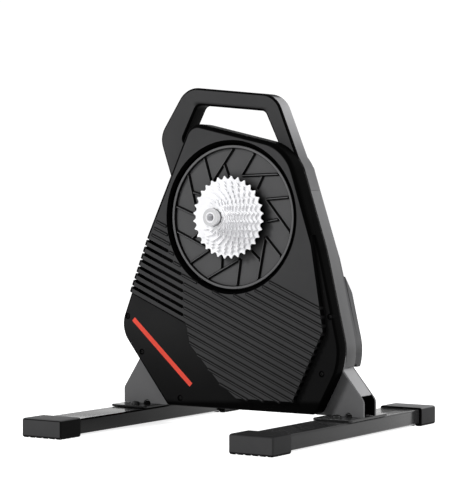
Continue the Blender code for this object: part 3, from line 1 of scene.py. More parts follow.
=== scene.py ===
"""Looks of the bike trainer: finishes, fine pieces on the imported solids, camera and light."""

import json
import math

import bmesh
import bpy
from mathutils import Matrix, Vector


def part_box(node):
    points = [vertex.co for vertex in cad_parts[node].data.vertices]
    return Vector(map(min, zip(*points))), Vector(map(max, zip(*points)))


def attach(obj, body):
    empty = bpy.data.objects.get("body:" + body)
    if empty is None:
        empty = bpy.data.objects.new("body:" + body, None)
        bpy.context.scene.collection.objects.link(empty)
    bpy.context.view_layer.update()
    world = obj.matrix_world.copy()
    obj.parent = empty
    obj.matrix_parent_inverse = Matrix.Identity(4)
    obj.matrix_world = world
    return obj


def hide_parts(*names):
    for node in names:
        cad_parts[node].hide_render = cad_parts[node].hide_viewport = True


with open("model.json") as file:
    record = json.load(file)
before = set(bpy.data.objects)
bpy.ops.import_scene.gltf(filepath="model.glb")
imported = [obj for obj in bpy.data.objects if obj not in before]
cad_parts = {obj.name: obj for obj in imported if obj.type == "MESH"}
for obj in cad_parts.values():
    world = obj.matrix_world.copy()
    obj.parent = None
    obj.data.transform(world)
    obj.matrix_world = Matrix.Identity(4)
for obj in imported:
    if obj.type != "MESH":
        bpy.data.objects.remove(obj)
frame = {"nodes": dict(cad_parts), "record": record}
NODES = frame["nodes"]
AXES = {joint["name"]: joint for joint in frame["record"]["behaviour"]["joints"]}
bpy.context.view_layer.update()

AXLE = Vector(AXES["belt_wheel_spin"]["pos_m"])
FLYWHEEL = Vector(AXES["flywheel_spin"]["pos_m"])
IDLER = Vector(AXES["idler_spin"]["pos_m"])


# Node wiring

TURNED_RINGS = 900.0
TURNED_ROUND = 1.5


class Wire:
    """A value in a material's node tree that plain arithmetic works on."""

    def __init__(self, tree, socket):
        self.tree = tree
        self.socket = socket

    def compute(self, operation, *terms):
        node = self.tree.nodes.new("ShaderNodeMath")
        node.operation = operation
        for slot, term in zip(node.inputs, terms):
            plug(self.tree, term, slot)
        return Wire(self.tree, node.outputs[0])

    def __add__(self, other):
        return self.compute("ADD", self, other)

    def __radd__(self, other):
        return self.compute("ADD", other, self)

    def __sub__(self, other):
        return self.compute("SUBTRACT", self, other)

    def __rsub__(self, other):
        return self.compute("SUBTRACT", other, self)

    def __mul__(self, other):
        return self.compute("MULTIPLY", self, other)

    def __rmul__(self, other):
        return self.compute("MULTIPLY", other, self)

    def __pow__(self, other):
        return self.compute("POWER", self, other)

    def __rpow__(self, other):
        return self.compute("POWER", other, self)

    def __abs__(self):
        return self.compute("ABSOLUTE", self)

    def most(self, other):
        return self.compute("MAXIMUM", self, other)


def plug(tree, value, slot):
    """Links a wire into an input, or writes a plain number or colour on it."""
    if isinstance(value, Wire):
        tree.links.new(value.socket, slot)
    elif isinstance(value, (tuple, list)) and len(slot.default_value) == 4 and len(value) == 3:
        slot.default_value = (*value, 1.0)
    else:
        slot.default_value = value


class Finish:
    """One material: its shader's plain values, and the wires that vary over the surface."""

    def __init__(self, name, colour, roughness, metallic=0.0, specular=0.5, coat=0.0):
        self.material = bpy.data.materials.new(name)
        self.material.use_nodes = True
        self.tree = self.material.node_tree
        self.shader = self.tree.nodes["Principled BSDF"]
        values = {
            "Base Color": (*colour, 1.0), "Roughness": roughness, "Metallic": metallic,
            "Specular IOR Level": specular, "Coat Weight": coat, "Coat Roughness": 0.05,
        }
        for key, value in values.items():
            self.shader.inputs[key].default_value = value
        self.place = self.add("ShaderNodeTexCoord", output="Object")

    def add(self, kind, inputs=None, output=0, **settings):
        """Any node: its settings by name, its inputs by name or number, and one output as a wire."""
        node = self.tree.nodes.new(kind)
        for key, value in settings.items():
            setattr(node, key, value)
        for key, value in (inputs or {}).items():
            plug(self.tree, value, node.inputs[key])
        return Wire(self.tree, node.outputs[output])

    def feed(self, socket, wire):
        self.tree.links.new(wire.socket, self.shader.inputs[socket])

    def noise(self, scale, detail, place=None):
        inputs = {"Vector": place or self.place, "Scale": scale, "Detail": detail, "Roughness": 0.55}
        return self.add("ShaderNodeTexNoise", inputs, "Fac")

    def ramp(self, wire, low, high, start=0.0, end=1.0):
        """The wire's low to high as start to end, eased and held at both ends."""
        inputs = {"Value": wire, "From Min": low, "From Max": high, "To Min": start, "To Max": end}
        return self.add("ShaderNodeMapRange", inputs, interpolation_type="SMOOTHSTEP")

    def mix(self, share, first, second):
        """A colour between two, by a share. A plain number stands for a grey."""
        return self.add("ShaderNodeMix", {0: share, 6: tone(first), 7: tone(second)}, 2, data_type="RGBA")

    def axes(self, wire=None):
        """The X, Y and Z of a vector wire, by default the object's own coordinates."""
        parts = self.tree.nodes.new("ShaderNodeSeparateXYZ")
        plug(self.tree, wire or self.place, parts.inputs[0])
        return [Wire(self.tree, output) for output in parts.outputs]

    def stretched(self, scale):
        return self.add("ShaderNodeMapping", {"Vector": self.place, "Scale": scale})

    def facing(self):
        """The X, Y and Z of the surface's own direction."""
        return self.axes(self.add("ShaderNodeTexCoord", output="Normal"))

    def edges(self, radius):
        """Near one on edges sharper than the radius, zero on flat places."""
        soft = self.add("ShaderNodeBevel", {"Radius": radius}, samples=6)
        plain = self.add("ShaderNodeNewGeometry", output="Normal")
        same = self.add("ShaderNodeVectorMath", {0: soft, 1: plain}, "Value", operation="DOT_PRODUCT")
        return self.ramp(1.0 - same, 0.012, 0.11)

    def off_line(self, centre):
        """The distance from a Y line, and the two steps across and up that lead there."""
        x, _, z = self.axes()
        across = x - centre.x
        up = z - centre.z
        return (across * across + up * up) ** 0.5, across, up

    def turning(self, centre):
        """Noise drawn out along circles about a Y line, as a lathe leaves it."""
        radius, across, up = self.off_line(centre)
        angle = self.add("ShaderNodeMath", {0: up, 1: across}, operation="ARCTAN2")
        spun = self.add("ShaderNodeCombineXYZ", {"X": radius * TURNED_RINGS, "Y": angle * TURNED_ROUND,
                                                 "Z": self.axes()[1] * TURNED_RINGS})
        return self.noise(1.0, 2.0, place=spun)

    def bump(self, height, strength, distance):
        self.feed("Normal", self.add("ShaderNodeBump", {"Height": height, "Strength": strength,
                                                        "Distance": distance}, "Normal"))


def grey(level):
    """The linear colour of a grey that shows as this level out of 255."""
    share = level / 255
    value = share / 12.92 if share <= 0.04045 else ((share + 0.055) / 1.055) ** 2.4
    return (value, value, value * 1.02)


def tone(colour):
    """A plain number as a grey of that level, and any other colour as it is."""
    return grey(colour) if isinstance(colour, (int, float)) else colour


def surface(name, colour, roughness, worn, wear, metallic=0.0, specular=0.5, coat=0.0, edge=0.0006, grain=900.0,
            grain_depth=0.00004, patch=14.0, side=None, turned_about=None, brushed=None, tint=None):
    """A finish with patches, fine grain and worn edges. side is the colour of what faces sideways,
    painted shade on every face turned from the front, turned_about the axis of turning marks, brushed
    the stretch of straight ones, and tint a function that gives the varying colour from the finish,
    which in several finishes holds painted light and shade."""
    finish = Finish(name, tone(colour), roughness, metallic, specular, coat)
    patches = finish.noise(patch, 4.0)
    if turned_about is not None:
        fine = finish.turning(turned_about)
    elif brushed is not None:
        fine = finish.noise(1.0, 2.0, place=finish.stretched(brushed))
    else:
        fine = finish.noise(grain, 2.0)
    base = tint(finish) if tint else colour
    # painted shade: faces turned away from the front take the side colour
    if side is not None:
        front = finish.ramp(abs(finish.facing()[1]), 0.965, 0.998)
        base = finish.mix(front, side(finish) if callable(side) else side, base)
    shown = finish.mix(finish.ramp(patches, 0.30, 0.72), finish.mix(0.10, base, (0.0, 0.0, 0.0)), base)
    rubbed = finish.edges(edge) * finish.ramp(finish.noise(160.0, 3.0), 0.38, 0.66) * wear
    finish.feed("Base Color", finish.mix(rubbed, shown, worn))
    finish.feed("Roughness", (finish.ramp(patches, 0.25, 0.75, -0.05, 0.06) + fine * 0.08 + (roughness - 0.04)
                              - rubbed * 0.12))
    finish.bump(fine, 0.55, grain_depth)
    return finish.material


# Finishes

# The black painted as shade on faces turned from the front, on inner walls and in recesses.
PAINTED_SHADE_BLACK = 2


def strip_tint(finish):
    """Light grey that darkens towards the foot, with painted shade where the strip turns to face downwards."""
    height = finish.axes()[2]
    upper = finish.mix(finish.ramp(height, 0.20, 0.40), 88, 110)
    # painted shade: darker grey where the surface faces downwards
    return finish.mix(finish.ramp(finish.facing()[2], -0.08, 0.16), 64, upper)


def plate_tint(finish):
    """Grey on the legs, and painted shade in black on what the covers hide and between the plates."""
    x, y, z = finish.axes()
    # painted shade: the plates' inner faces between them turn black
    between = finish.ramp((0.034 - y) * finish.facing()[1], 0.005, 0.012)
    shade_mask = finish.ramp(z, 0.124, 0.130).most(finish.ramp(abs(x), 0.130, 0.120)).most(between)
    return finish.mix(shade_mask, 104, 5)


def cover_tint(finish):
    """Painted shade: the face fades downwards, the ledge below it is darker, most of all at the right, and
    black at its foot; faces turned to the rear and the screw wells are black.
    """
    x, y, z = finish.axes()
    # painted shade: a darker lower face and ledge, black at the ledge's foot
    face = finish.mix(finish.ramp(z + x * 0.20, 0.04, 0.30), 64, 68)
    left = finish.mix(finish.ramp(z, 0.05, 0.20), 24, 42)
    ledge = finish.mix(finish.ramp(x, -0.06, 0.10), left, 23)
    ledge = finish.mix(finish.ramp(z - (x + 0.10).most(0.0) * 0.05, 0.0375, 0.0470), 3, ledge)
    outer = finish.mix(finish.ramp(y, -0.0175, -0.0110), face, ledge)
    # painted shade: black on faces turned to the rear and in the screw wells
    shade_mask = finish.ramp(finish.facing()[1], -0.5, 0.5)
    for screw_x, screw_z in COVER_SCREWS:
        away = finish.off_line(Vector((screw_x, 0, screw_z)))[0]
        shade_mask = shade_mask.most(finish.ramp(away, 0.0056, 0.0046))
    return finish.mix(shade_mask, outer, PAINTED_SHADE_BLACK)


def rib_tint(finish):
    """The face's tone on a rib's front, with painted shade as a dark line along both of its feet."""
    front = COVER_FACE - 0.0008
    return finish.mix(finish.ramp(finish.axes()[1], front, front + 0.0004), cover_tint(finish), 30)


def by_side(finish, left, right):
    """One colour on the left half of the object and one on the right."""
    return finish.mix(finish.ramp(finish.axes()[0], -0.02, 0.02), left, right)


# painted shade: sideways faces nearly black on the left, dark grey on the right
def bar_sides_shade(finish):
    return by_side(finish, 2, 48)


def cap_foot_shade(finish):
    """One on a rubber cap's foot and zero above it: where painted shade darkens the cap along the floor."""
    return finish.ramp(finish.axes()[2], 0.0048, 0.0022)


def cap_ends(finish):
    """Grey outer ends, black inner ends, and painted shade in black on the feet."""
    inner = finish.ramp(finish.facing()[1] * finish.axes()[1], -0.05, -0.15)
    return finish.mix(inner.most(cap_foot_shade(finish)), 67, 4)


def cap_sides_lit_and_shaded(finish):
    """Painted light and shade: sides darker than ends, most of all at the left, and tops painted paler, most of
    all at the rear.
    """
    rear = finish.ramp(finish.axes()[1], -0.05, 0.05)
    tops = finish.mix(rear, by_side(finish, 84, 30), 140)
    sides = finish.mix(rear, by_side(finish, 6, 50), 60)
    sides = finish.mix(cap_foot_shade(finish), sides, 4)
    return finish.mix(finish.ramp(finish.facing()[2], 0.4, 0.8), sides, tops)


def from_axle(finish):
    return finish.off_line(AXLE)[0]


def bore_painted_light(finish):
    """Painted light: bright round the bore and inside it."""
    return finish.mix(finish.ramp(from_axle(finish), 0.0082, 0.0088), 252, 208)


def wheel_tone_and_shadow(finish):
    """The rim is a shade lighter than the disc, and a painted shadow of the sprockets darkens the disc towards
    them.
    """
    out = from_axle(finish)
    face = finish.mix(finish.ramp(out, 0.054, 0.078), 10, 82)
    return finish.mix(finish.ramp(out, 0.1112, 0.1120), face, 100)


def turbine_painted_shadow(finish):
    # painted shadow of the sprockets darkens the ribs towards them
    return finish.mix(finish.ramp(from_axle(finish), 0.058, 0.082), 24, 96)


def handle_tint(finish):
    """The front, with painted shade as a soft dark band under the grip."""
    x, _, z = finish.axes()
    above = z - 0.5233 + x * 0.0996
    band = (finish.ramp(above, 0.0080, 0.0005) * finish.ramp(above, -0.0030, -0.0005)
            * finish.ramp(abs(x + 0.018), 0.075, 0.060))
    return finish.mix(band, 68, 8)


def handle_sides(finish):
    """Painted shade in black round the front and inside the loop, light grey on the outer right side, painted
    paler towards the top as painted light.
    """
    x, y, z = finish.axes()
    foot = finish.ramp(z, 0.396, 0.404, 1.0, 0.0)
    outer = (finish.ramp(finish.facing()[0] + foot, 0.42, 0.62) * finish.ramp(x, 0.02, 0.04)
             * finish.ramp(y, 0.0160, 0.0176))
    return finish.mix(outer, PAINTED_SHADE_BLACK, finish.mix(finish.ramp(z, 0.43, 0.53), 118, 172))


def rear_tint(finish):
    """The side strip's grey, and painted shade in near black on the top and on the rim below the handle."""
    x, _, z = finish.axes()
    _, along, up = finish.facing()
    rim = finish.ramp(along, -0.60, -0.90) * finish.ramp(abs(x), 0.110, 0.100)
    high = finish.ramp(up, 0.50, 0.80).most(rim) * finish.ramp(z, 0.41, 0.42)
    return finish.mix(high, strip_tint(finish), 8)


# For each finish: its material's name, colour, roughness, colour where it is worn, share of wear,
# and what else surface() takes.
FINISHES = {
    # side: painted shade in black on the cover's faces turned from the front
    "cover": ("moulded_black_plastic", 60, 0.55, 92, 0.03,
              dict(specular=0.01, side=PAINTED_SHADE_BLACK, tint=cover_tint)),
    # painted shade on the ribs' sides and feet
    "ribs": ("moulded_rib_plastic", 60, 0.55, 84, 0.08, dict(specular=0.015, side=14, tint=rib_tint)),
    "rear_cover": ("rear_grey_paint", 112, 0.46, 150, 0.3, dict(specular=0.06, tint=rear_tint)),
    "frame": ("frame_grey_paint", 94, 0.44, 150, 0.3, dict(specular=0.06, tint=plate_tint)),
    "strip": ("side_strip_paint", 112, 0.42, 160, 0.25, dict(specular=0.3, tint=strip_tint)),
    # painted light: the leg strip's paint is a paler copy of the side strip's, as if lit from above
    "web": ("leg_strip_lit_paint", 165, 0.42, 200, 0.25, dict(specular=0.3)),
    "handle": ("handle_paint", 68, 0.50, 100, 0.05, dict(specular=0.015, side=handle_sides, tint=handle_tint)),
    "gloss": ("gloss_black_paint", 24, 0.16, 60, 0.30,
              dict(specular=0.12, coat=0.06, grain=260.0, grain_depth=0.00001, side=bar_sides_shade)),
    "rubber": ("moulded_rubber", 64, 0.72, 78, 0.2,
               dict(specular=0.05, grain=1400.0, grain_depth=0.00008, side=cap_sides_lit_and_shaded, tint=cap_ends)),
    # side: painted shade in black on the wheel's faces turned from the front
    "disc": ("coated_wheel", 82, 0.45, 120, 0.12,
             dict(specular=0.12, side=PAINTED_SHADE_BLACK, turned_about=AXLE, grain_depth=0.00002, tint=wheel_tone_and_shadow)),
    # painted highlight: rib fronts paler than the disc, and edge wear that also stands for a painted highlight;
    # black sides are painted shade
    "turbine": ("coated_rib_lit", 96, 0.45, 150, 0.35,
                dict(specular=0.12, side=PAINTED_SHADE_BLACK, edge=0.0004, tint=turbine_painted_shadow)),
    "silver": ("bright_sprocket_steel", 250, 0.40, 253, 0.3,
               dict(metallic=0.08, turned_about=AXLE, grain_depth=0.00001)),
    "end_cap": ("pale_end_cap", 210, 0.36, 250, 0.9,
                dict(metallic=0.05, turned_about=AXLE, grain_depth=0.00001, tint=bore_painted_light)),
    "aluminium": ("turned_aluminium", 205, 0.32, 235, 0.4,
                  dict(metallic=0.9, turned_about=AXLE, grain_depth=0.00001)),
    "bolt": ("black_oxide_steel", 7, 0.38, 80, 0.25, dict(specular=0.25)),
    "screw": ("black_screw_steel", 3, 0.45, 30, 0.3, dict(specular=0.1)),
    "steel": ("plain_steel", 165, 0.36, 205, 0.4,
              dict(metallic=0.9, brushed=(40.0, 900.0, 40.0), grain_depth=0.00001)),
    "iron": ("turned_iron", 120, 0.40, 170, 0.5,
             dict(metallic=0.8, turned_about=FLYWHEEL, grain_depth=0.00002)),
    "copper": ("enamelled_copper", (0.42, 0.14, 0.05), 0.35, (0.6, 0.3, 0.15), 0.5,
               dict(metallic=0.7, brushed=(60.0, 2600.0, 60.0), grain_depth=0.0001)),
    "board": ("green_board", (0.01, 0.085, 0.035), 0.42, (0.05, 0.2, 0.1), 0.3, {}),
    "belt": ("ribbed_belt_rubber", 30, 0.66, 60, 0.5, dict(specular=0.2)),
    "inlet": ("inlet_plastic", 28, 0.48, 60, 0.4, dict(specular=0.3)),
    "stripe": ("red_print", (0.83, 0.085, 0.055), 0.50, (0.70, 0.16, 0.12), 0.4,
               dict(specular=0.1, patch=60.0)),
}
READY = {}


def finish_of(name):
    if name not in READY:
        *plain, more = FINISHES[name]
        READY[name] = surface(*plain, **more)
    return READY[name]


def paint(item, name):
    item.data.materials.clear()
    item.data.materials.append(finish_of(name))


NODE_FINISHES = {
    "drive_cover": "cover", "rear_cover": "rear_cover", "handle": "handle",
    "front_plate": "frame", "rear_plate": "frame", "leg_web": "frame", "side_rail": "strip",
    "floor_bar": "gloss", "foot_plate": "gloss", "end_cap": "rubber",
    "foot_bolt": "bolt", "handle_bolt": "bolt", "cover_screw": "bolt", "idler_bolt": "bolt",
    "belt_wheel": "disc", "sprocket": "silver", "lockring": "silver", "freehub": "aluminium",
    "freehub_bearing": "steel", "hub_bearing": "steel", "shaft_bearing": "steel",
    "axle": "steel", "axle_boss": "steel", "drive_end_cap": "aluminium", "rear_end_cap": "aluminium",
    "flywheel": "iron", "flywheel_shaft": "steel", "small_pulley": "aluminium", "idler_wheel": "aluminium",
    "brake_core": "iron", "brake_carrier": "aluminium", "circuit_board": "board",
    "power_inlet": "inlet", "drive_belt": "belt",
}

# Outlines in the X-Z plane

ARC_STEP = math.radians(5)
SHARP_ANGLE = math.radians(32)
HOLD = 0.0004


def rounded(corners):
    """Points of a closed outline whose corners carry their own radius."""
    points = []
    count = len(corners)
    for index, (x, z, radius) in enumerate(corners):
        here = Vector((x, z))
        before = (Vector(corners[index - 1][:2]) - here).normalized()
        after = (Vector(corners[(index + 1) % count][:2]) - here).normalized()
        half = before.angle(after) / 2
        if radius < 1e-6 or half > math.radians(89.5):
            points.append(here)
            continue
        tangent = radius / math.tan(half)
        centre = here + (before + after).normalized() * radius / math.sin(half)
        start = here + before * tangent - centre
        turn = start.angle_signed(here + after * tangent - centre)
        steps = max(2, math.ceil(abs(turn) / ARC_STEP - 0.01))
        for step in range(steps + 1):
            points.append(centre + Matrix.Rotation(-turn * step / steps, 2) @ start)
    return points


def inset(corners, distance):
    """The same outline moved inwards, with as many points as before."""
    count = len(corners)
    area = sum(corners[k - 1][0] * corners[k][1] - corners[k][0] * corners[k - 1][1] for k in range(count))
    side = 1 if area > 0 else -1
    moved = []
    for index, (x, z, radius) in enumerate(corners):
        here = Vector((x, z))
        into = (here - Vector(corners[index - 1][:2])).normalized()
        out = (Vector(corners[(index + 1) % count][:2]) - here).normalized()
        normal_in = Vector((-into.y, into.x)) * side
        normal_out = Vector((-out.y, out.x)) * side
        shift = (normal_in + normal_out) * distance / (1 + normal_in.dot(normal_out))
        convex = side * (into.x * out.y - into.y * out.x) > 0
        turned_radius = radius - distance if convex else radius + distance
        moved.append((x + shift.x, z + shift.y, max(turned_radius, 0.0002) if radius > 1e-6 else 0))
    return moved


class Loop:
    """A closed line of corners, each with its own radius."""

    def __init__(self, corners):
        self.corners = [(*corner, 0)[:3] for corner in corners]

    def at(self, distance):
        return rounded(inset(self.corners, distance))


def straight_bar(start, end, half, start_round, end_round):
    """The outline of a bar between two points, of half its width, with a rounding at each end."""
    across = (end - start).orthogonal().normalized() * half
    return Loop([(*(start - across), start_round), (*(start + across), start_round),
                 (*(end + across), end_round), (*(end - across), end_round)])


def around(x, z, radius, angle):
    """The point at a radius and an angle from a centre."""
    return x + radius * math.cos(angle), z + radius * math.sin(angle)


def about_axle(radius, angle):
    return around(AXLE.x, AXLE.z, radius, angle)


class Circle:
    """A closed line round a centre."""

    def __init__(self, x, z, radius, steps=96):
        self.centre = (x, z)
        self.radius = radius
        self.steps = steps

    def at(self, distance):
        return [Vector(around(*self.centre, self.radius - distance, math.tau * k / self.steps))
                for k in range(self.steps)]


class Teeth:
    """The line round a chain sprocket, about the axle. Moving it inwards trims the tips alone."""

    PITCH = 0.0127
    SEAT_RADIUS = 0.0039
    SEAT_ANGLES = (-58, -38, -19, 0, 19, 38, 58)
    SEAT_LIFT = 0.0009
    TIP_HEIGHT = 0.0023
    TIP = ((0.13, 0.0005), (0.05, 0.0), (-0.05, 0.0), (-0.13, 0.0005))

    def __init__(self, teeth):
        self.teeth = teeth
        self.step = math.tau / teeth
        self.pitch_radius = self.PITCH / (2 * math.sin(self.step / 2))

    def root(self):
        return self.pitch_radius + self.SEAT_LIFT - self.SEAT_RADIUS

    def at(self, distance):
        seat = self.pitch_radius + self.SEAT_LIFT
        tip = self.pitch_radius + self.TIP_HEIGHT
        half = tip * self.step / 2
        line = []
        for angle in map(math.radians, self.SEAT_ANGLES):
            line.append((self.SEAT_RADIUS * math.sin(angle), seat - self.SEAT_RADIUS * math.cos(angle)))
        line += [(half - share * half, tip - drop) for share, drop in self.TIP]
        return [Vector(about_axle(min(math.hypot(across, out), tip - abs(distance)),
                                  tooth * self.step + math.atan2(across, out)))
                for tooth in range(self.teeth) for across, out in line]


# Solids

def eased(front, rear, front_round=0.0, rear_round=0.0, steps=4, upper=None):
    """Stations that round a slab's front and rear edges. With upper, a pair of heights, the rear
    edge is only rounded above them."""
    stations = []
    for radius, y, way, fade in ((front_round, front, 1, None), (rear_round, rear, -1, upper)):
        run = [(y, 0.0, None)]
        if radius:
            run = [(y, radius + HOLD, fade)]
            for k in range(steps + 1):
                turn = math.pi / 2 * k / steps
                run.append((y + way * radius * (1 - math.cos(turn)), radius * (1 - math.sin(turn)), fade))
        stations += run[::way]
    return stations


def ring_edges(shape, ring):
    return [shape.edges.get((ring[k - 1], ring[k])) for k in range(len(ring))]


def grown(shape, ring):
    """Extrudes a ring of vertices and gives the new ring, in the same order."""
    made = bmesh.ops.extrude_edge_only(shape, edges=ring_edges(shape, ring))["geom"]
    fresh = {item for item in made if isinstance(item, bmesh.types.BMVert)}
    return [next(edge.other_vert(vert) for edge in vert.link_edges if edge.other_vert(vert) in fresh)
            for vert in ring]


def slab(name, outer, holes, stations):
    """A closed solid between loops, extruded along stations, with flat ends. A station is a depth and
    an inset, and it may add a pair of heights between which the inset fades in."""
    shape = bmesh.new()
    ends = []
    for loop, way in [(outer, 1)] + [(hole, -1) for hole in holes]:
        plain = loop.at(0)
        ring = []
        for station in stations:
            y, distance, fade = (*station, None)[:3]
            line = loop.at(way * distance)
            if fade:
                line = [full.lerp(moved, min(1, max(0, (full.y - fade[0]) / (fade[1] - fade[0]))))
                        for full, moved in zip(plain, line)]
            if ring:
                ring = grown(shape, ring)
            else:
                ring = [shape.verts.new() for point in line]
                for k in range(len(ring)):
                    shape.edges.new((ring[k - 1], ring[k]))
                first = ring
            for vert, point in zip(ring, line):
                vert.co = (point.x, y, point.y)
        ends.append((first, ring))
    for end in zip(*ends):
        edges = [edge for ring in end for edge in ring_edges(shape, ring)]
        bmesh.ops.triangle_fill(shape, use_beauty=True, edges=edges)
    return solid(name, shape)


def solid(name, shape):
    """Turns a bmesh into a mesh, with its faces pointing outwards."""
    bmesh.ops.remove_doubles(shape, verts=shape.verts, dist=0.000001)
    bmesh.ops.recalc_face_normals(shape, faces=shape.faces)
    mesh = bpy.data.meshes.new(name)
    shape.to_mesh(mesh)
    shape.free()
    return mesh


def lathe(name, corners, centre, steps=96):
    """A piece turned about a Y line, from corners of radius, depth and rounding."""
    shape = bmesh.new()
    line = rounded([(*corner, 0)[:3] for corner in corners])
    verts = [shape.verts.new((centre.x + radius, y, centre.z)) for radius, y in line]
    for k in range(len(verts)):
        if max(line[k - 1][0], line[k][0]) > 1e-6:
            shape.edges.new((verts[k - 1], verts[k]))
    bmesh.ops.spin(shape, geom=shape.verts[:] + shape.edges[:], cent=(centre.x, 0, centre.z), axis=(0, 1, 0),
                   angle=math.tau, steps=steps, use_merge=True)
    return solid(name, shape)


def tube(name, radii, ends, centre, steps=96, rounds=(0, 0, 0, 0)):
    """A turned ring between two radii and two depths. The rounds are those of its corners: inner
    front, outer front, outer rear and inner rear."""
    inner, outer = radii
    front, rear = ends
    corners = zip((inner, outer, outer, inner), (front, front, rear, rear), rounds)
    return lathe(name, list(corners), centre, steps)


def block(name, low, high, ease):
    """A box with eased edges."""
    shape = bmesh.new()
    size = Vector(high) - Vector(low)
    place = Matrix.Translation((Vector(high) + Vector(low)) / 2) @ Matrix.Diagonal((*size, 1))
    bmesh.ops.create_cube(shape, size=1, matrix=place)
    if ease:
        bmesh.ops.bevel(shape, geom=shape.edges[:], offset=ease, segments=2, profile=0.5, affect="EDGES",
                        material=-1)
    return solid(name, shape)


def joined(name, meshes):
    shape = bmesh.new()
    for mesh in meshes:
        shape.from_mesh(mesh)
    mesh = bpy.data.meshes.new(name)
    shape.to_mesh(mesh)
    shape.free()
    return mesh


def carved(mesh, *tools, operation="DIFFERENCE"):
    """The mesh with each tool cut out of it in turn, or added to it by a union."""
    items = []
    for data in (mesh, *tools):
        items.append(bpy.data.objects.new(data.name, data))
        bpy.context.scene.collection.objects.link(items[-1])
    for item in items[1:]:
        modifier = items[0].modifiers.new(operation, "BOOLEAN")
        modifier.object = item
        modifier.operation = operation
        modifier.solver = "EXACT"
    graph = bpy.context.evaluated_depsgraph_get()
    result = bpy.data.meshes.new_from_object(items[0].evaluated_get(graph))
    for item in items:
        bpy.data.objects.remove(item)
    return result


def add(name, mesh, finish, body="frame", node=None):
    """One fine piece: shaded, finished, and riding on a body, in place of a node if it has one."""
    mesh.name = name
    mesh.shade_smooth()
    mesh.set_sharp_from_angle(angle=SHARP_ANGLE)
    piece = bpy.data.objects.new(name, mesh)
    bpy.context.scene.collection.objects.link(piece)
    paint(piece, finish)
    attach(piece, body)
    if node:
        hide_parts(node)


# Sizes of the solids, in metres

BODY = (
    (-0.1280, 0.0345, 0.010), (-0.2247, 0.1597, 0.045), (-0.1640, 0.3140, 0.200), (-0.0755, 0.5030, 0.026),
    (0.1095, 0.4600, 0.075), (0.1640, 0.2950, 0.300), (0.2045, 0.1216, 0.095), (0.1580, 0.0345, 0.015),
)
RAISED = (
    (0.014, 0.0530, 0.002), (-0.0205, 0.0785, 0.004), (-0.0515, 0.1110, 0.004), (-0.0765, 0.1370, 0.006),
    (-0.0845, 0.1730, 0.004), (-0.3000, 0.2660, 0.002), (-0.3000, 0.6500, 0.002), (0.3000, 0.6500, 0.002),
    (0.3000, 0.3200, 0.002), (0.1520, 0.3200, 0.002), (0.1765, 0.1680, 0.008), (0.1200, 0.0530, 0.002),
)
HANDLE = (
    (-0.1284, 0.3903, 0.0006), (-0.1590, 0.4810, 0.036), (-0.1050, 0.5624, 0.040), (0.0692, 0.5444, 0.040),
    (0.1105, 0.4440, 0.010), (0.1215, 0.4255, 0.015), (0.1325, 0.3903, 0.0006),
)
HANDLE_LOOP = (
    (-0.1175, 0.4640, 0.008), (-0.0825, 0.5315, 0.012), (0.0480, 0.5185, 0.012), (0.0820, 0.4480, 0.008),
    (-0.0600, 0.4810, 0.020),
)
HANDLE_POCKET = (
    (-0.1160, 0.3980, 0.006), (-0.1170, 0.4520, 0.006), (-0.0620, 0.4690, 0.012), (0.0780, 0.4365, 0.006),
    (0.1180, 0.4000, 0.006),
)
HANDLE_BOLTS = ((-0.075, 0.425), (0.075, 0.415))
COVER_SCREWS = ((-0.208, 0.180), (-0.179, 0.121), (-0.102, 0.0475), (0.183, 0.191), (0.168, 0.100))
REAR_SCREWS = ((-0.176, 0.150, 0.072), (0.168, 0.150, 0.072), (-0.136, 0.330, 0.055), (0.128, 0.330, 0.055))

GAP = 0.0003
BOLT_HOLE = 0.0043
FOOT_BOLTS = ((-0.007, "front"), (0.075, "rear"))
SIDES = ((-1, "left"), (1, "right"))
BAR_X = 0.194
BAR_HALF = 0.0335
BAR_LOW, BAR_TOP = 0.0035, 0.028
BAR_WALL = 0.002
GROOVE_Z, GROOVE_RADIUS = -0.0008, 0.0030
STRIP_WALL = 0.003
LEG_REACH = 0.231
LEG_FOLD = 0.0581
HANDLE_FRONT = 0.013
OPENING = 0.1205
COVER_WALL = 0.0028
COVER_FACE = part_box("drive_cover")[0][1] + 0.0013
COVER_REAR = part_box("drive_cover")[1][1]
LEDGE = COVER_FACE + 0.010
RIB_TOP, RIB_STEP, RIB_SLOPE = 0.278, 0.0131, -0.435
RIB_COUNT = 17
RIB_FOOT = 0.0015
SLOTTED = range(3, 12)
SLOT_CLEAR = 0.134
BODY_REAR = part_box("handle")[1][1]
PLATE_REAR = 0.017
REAR_DEEP = 0.072
REAR_FLAT = 0.055
REAR_SETBACK = 0.004
REAR_FADE = (0.25, 0.30)
INLET_X, INLET_Z = 0.145, 0.128
AXLE_BORE = 0.0061
DISC_FACE = -0.0088
RIM_INNER = 0.1116
TURBINE_RIBS = ((0.1118, 89.5, 0.069, 127.5), (0.1118, 68.2, 0.069, 76.1), (0.088, 101.0, 0.064, 96.5))
SPROCKETS = {
    "sprocket_11t": (11,), "sprocket_12t": (12,), "sprocket_13t": (13,), "sprocket_14t": (14,),
    "sprocket_16t": (16,), "sprockets_18t_to_22t": (18, 20, 22), "sprockets_25t_to_32t": (25, 28, 32),
}
FIRST_SPROCKET, SPROCKET_STEP, SPROCKET_HALF = -0.0629, 0.00374, 0.0009
CAPACITORS = ((0.052, 0.182, 0.0042, 0.0070), (0.064, 0.182, 0.0042, 0.0070), (0.118, 0.150, 0.0034, 0.0062))
CHIPS = (
    (0.090, 0.168, 0.012, 0.012, 0.0016), (0.070, 0.158, 0.006, 0.009, 0.0020),
    (0.108, 0.180, 0.008, 0.005, 0.0020), (0.060, 0.143, 0.014, 0.006, 0.0065),
)


def flat(front, rear):
    """Stations of a plain slab with sharp edges."""
    return [(front, 0.0), (rear, 0.0)]


def tool(loop, front, rear):
    return slab("tool", loop, [], flat(front, rear))


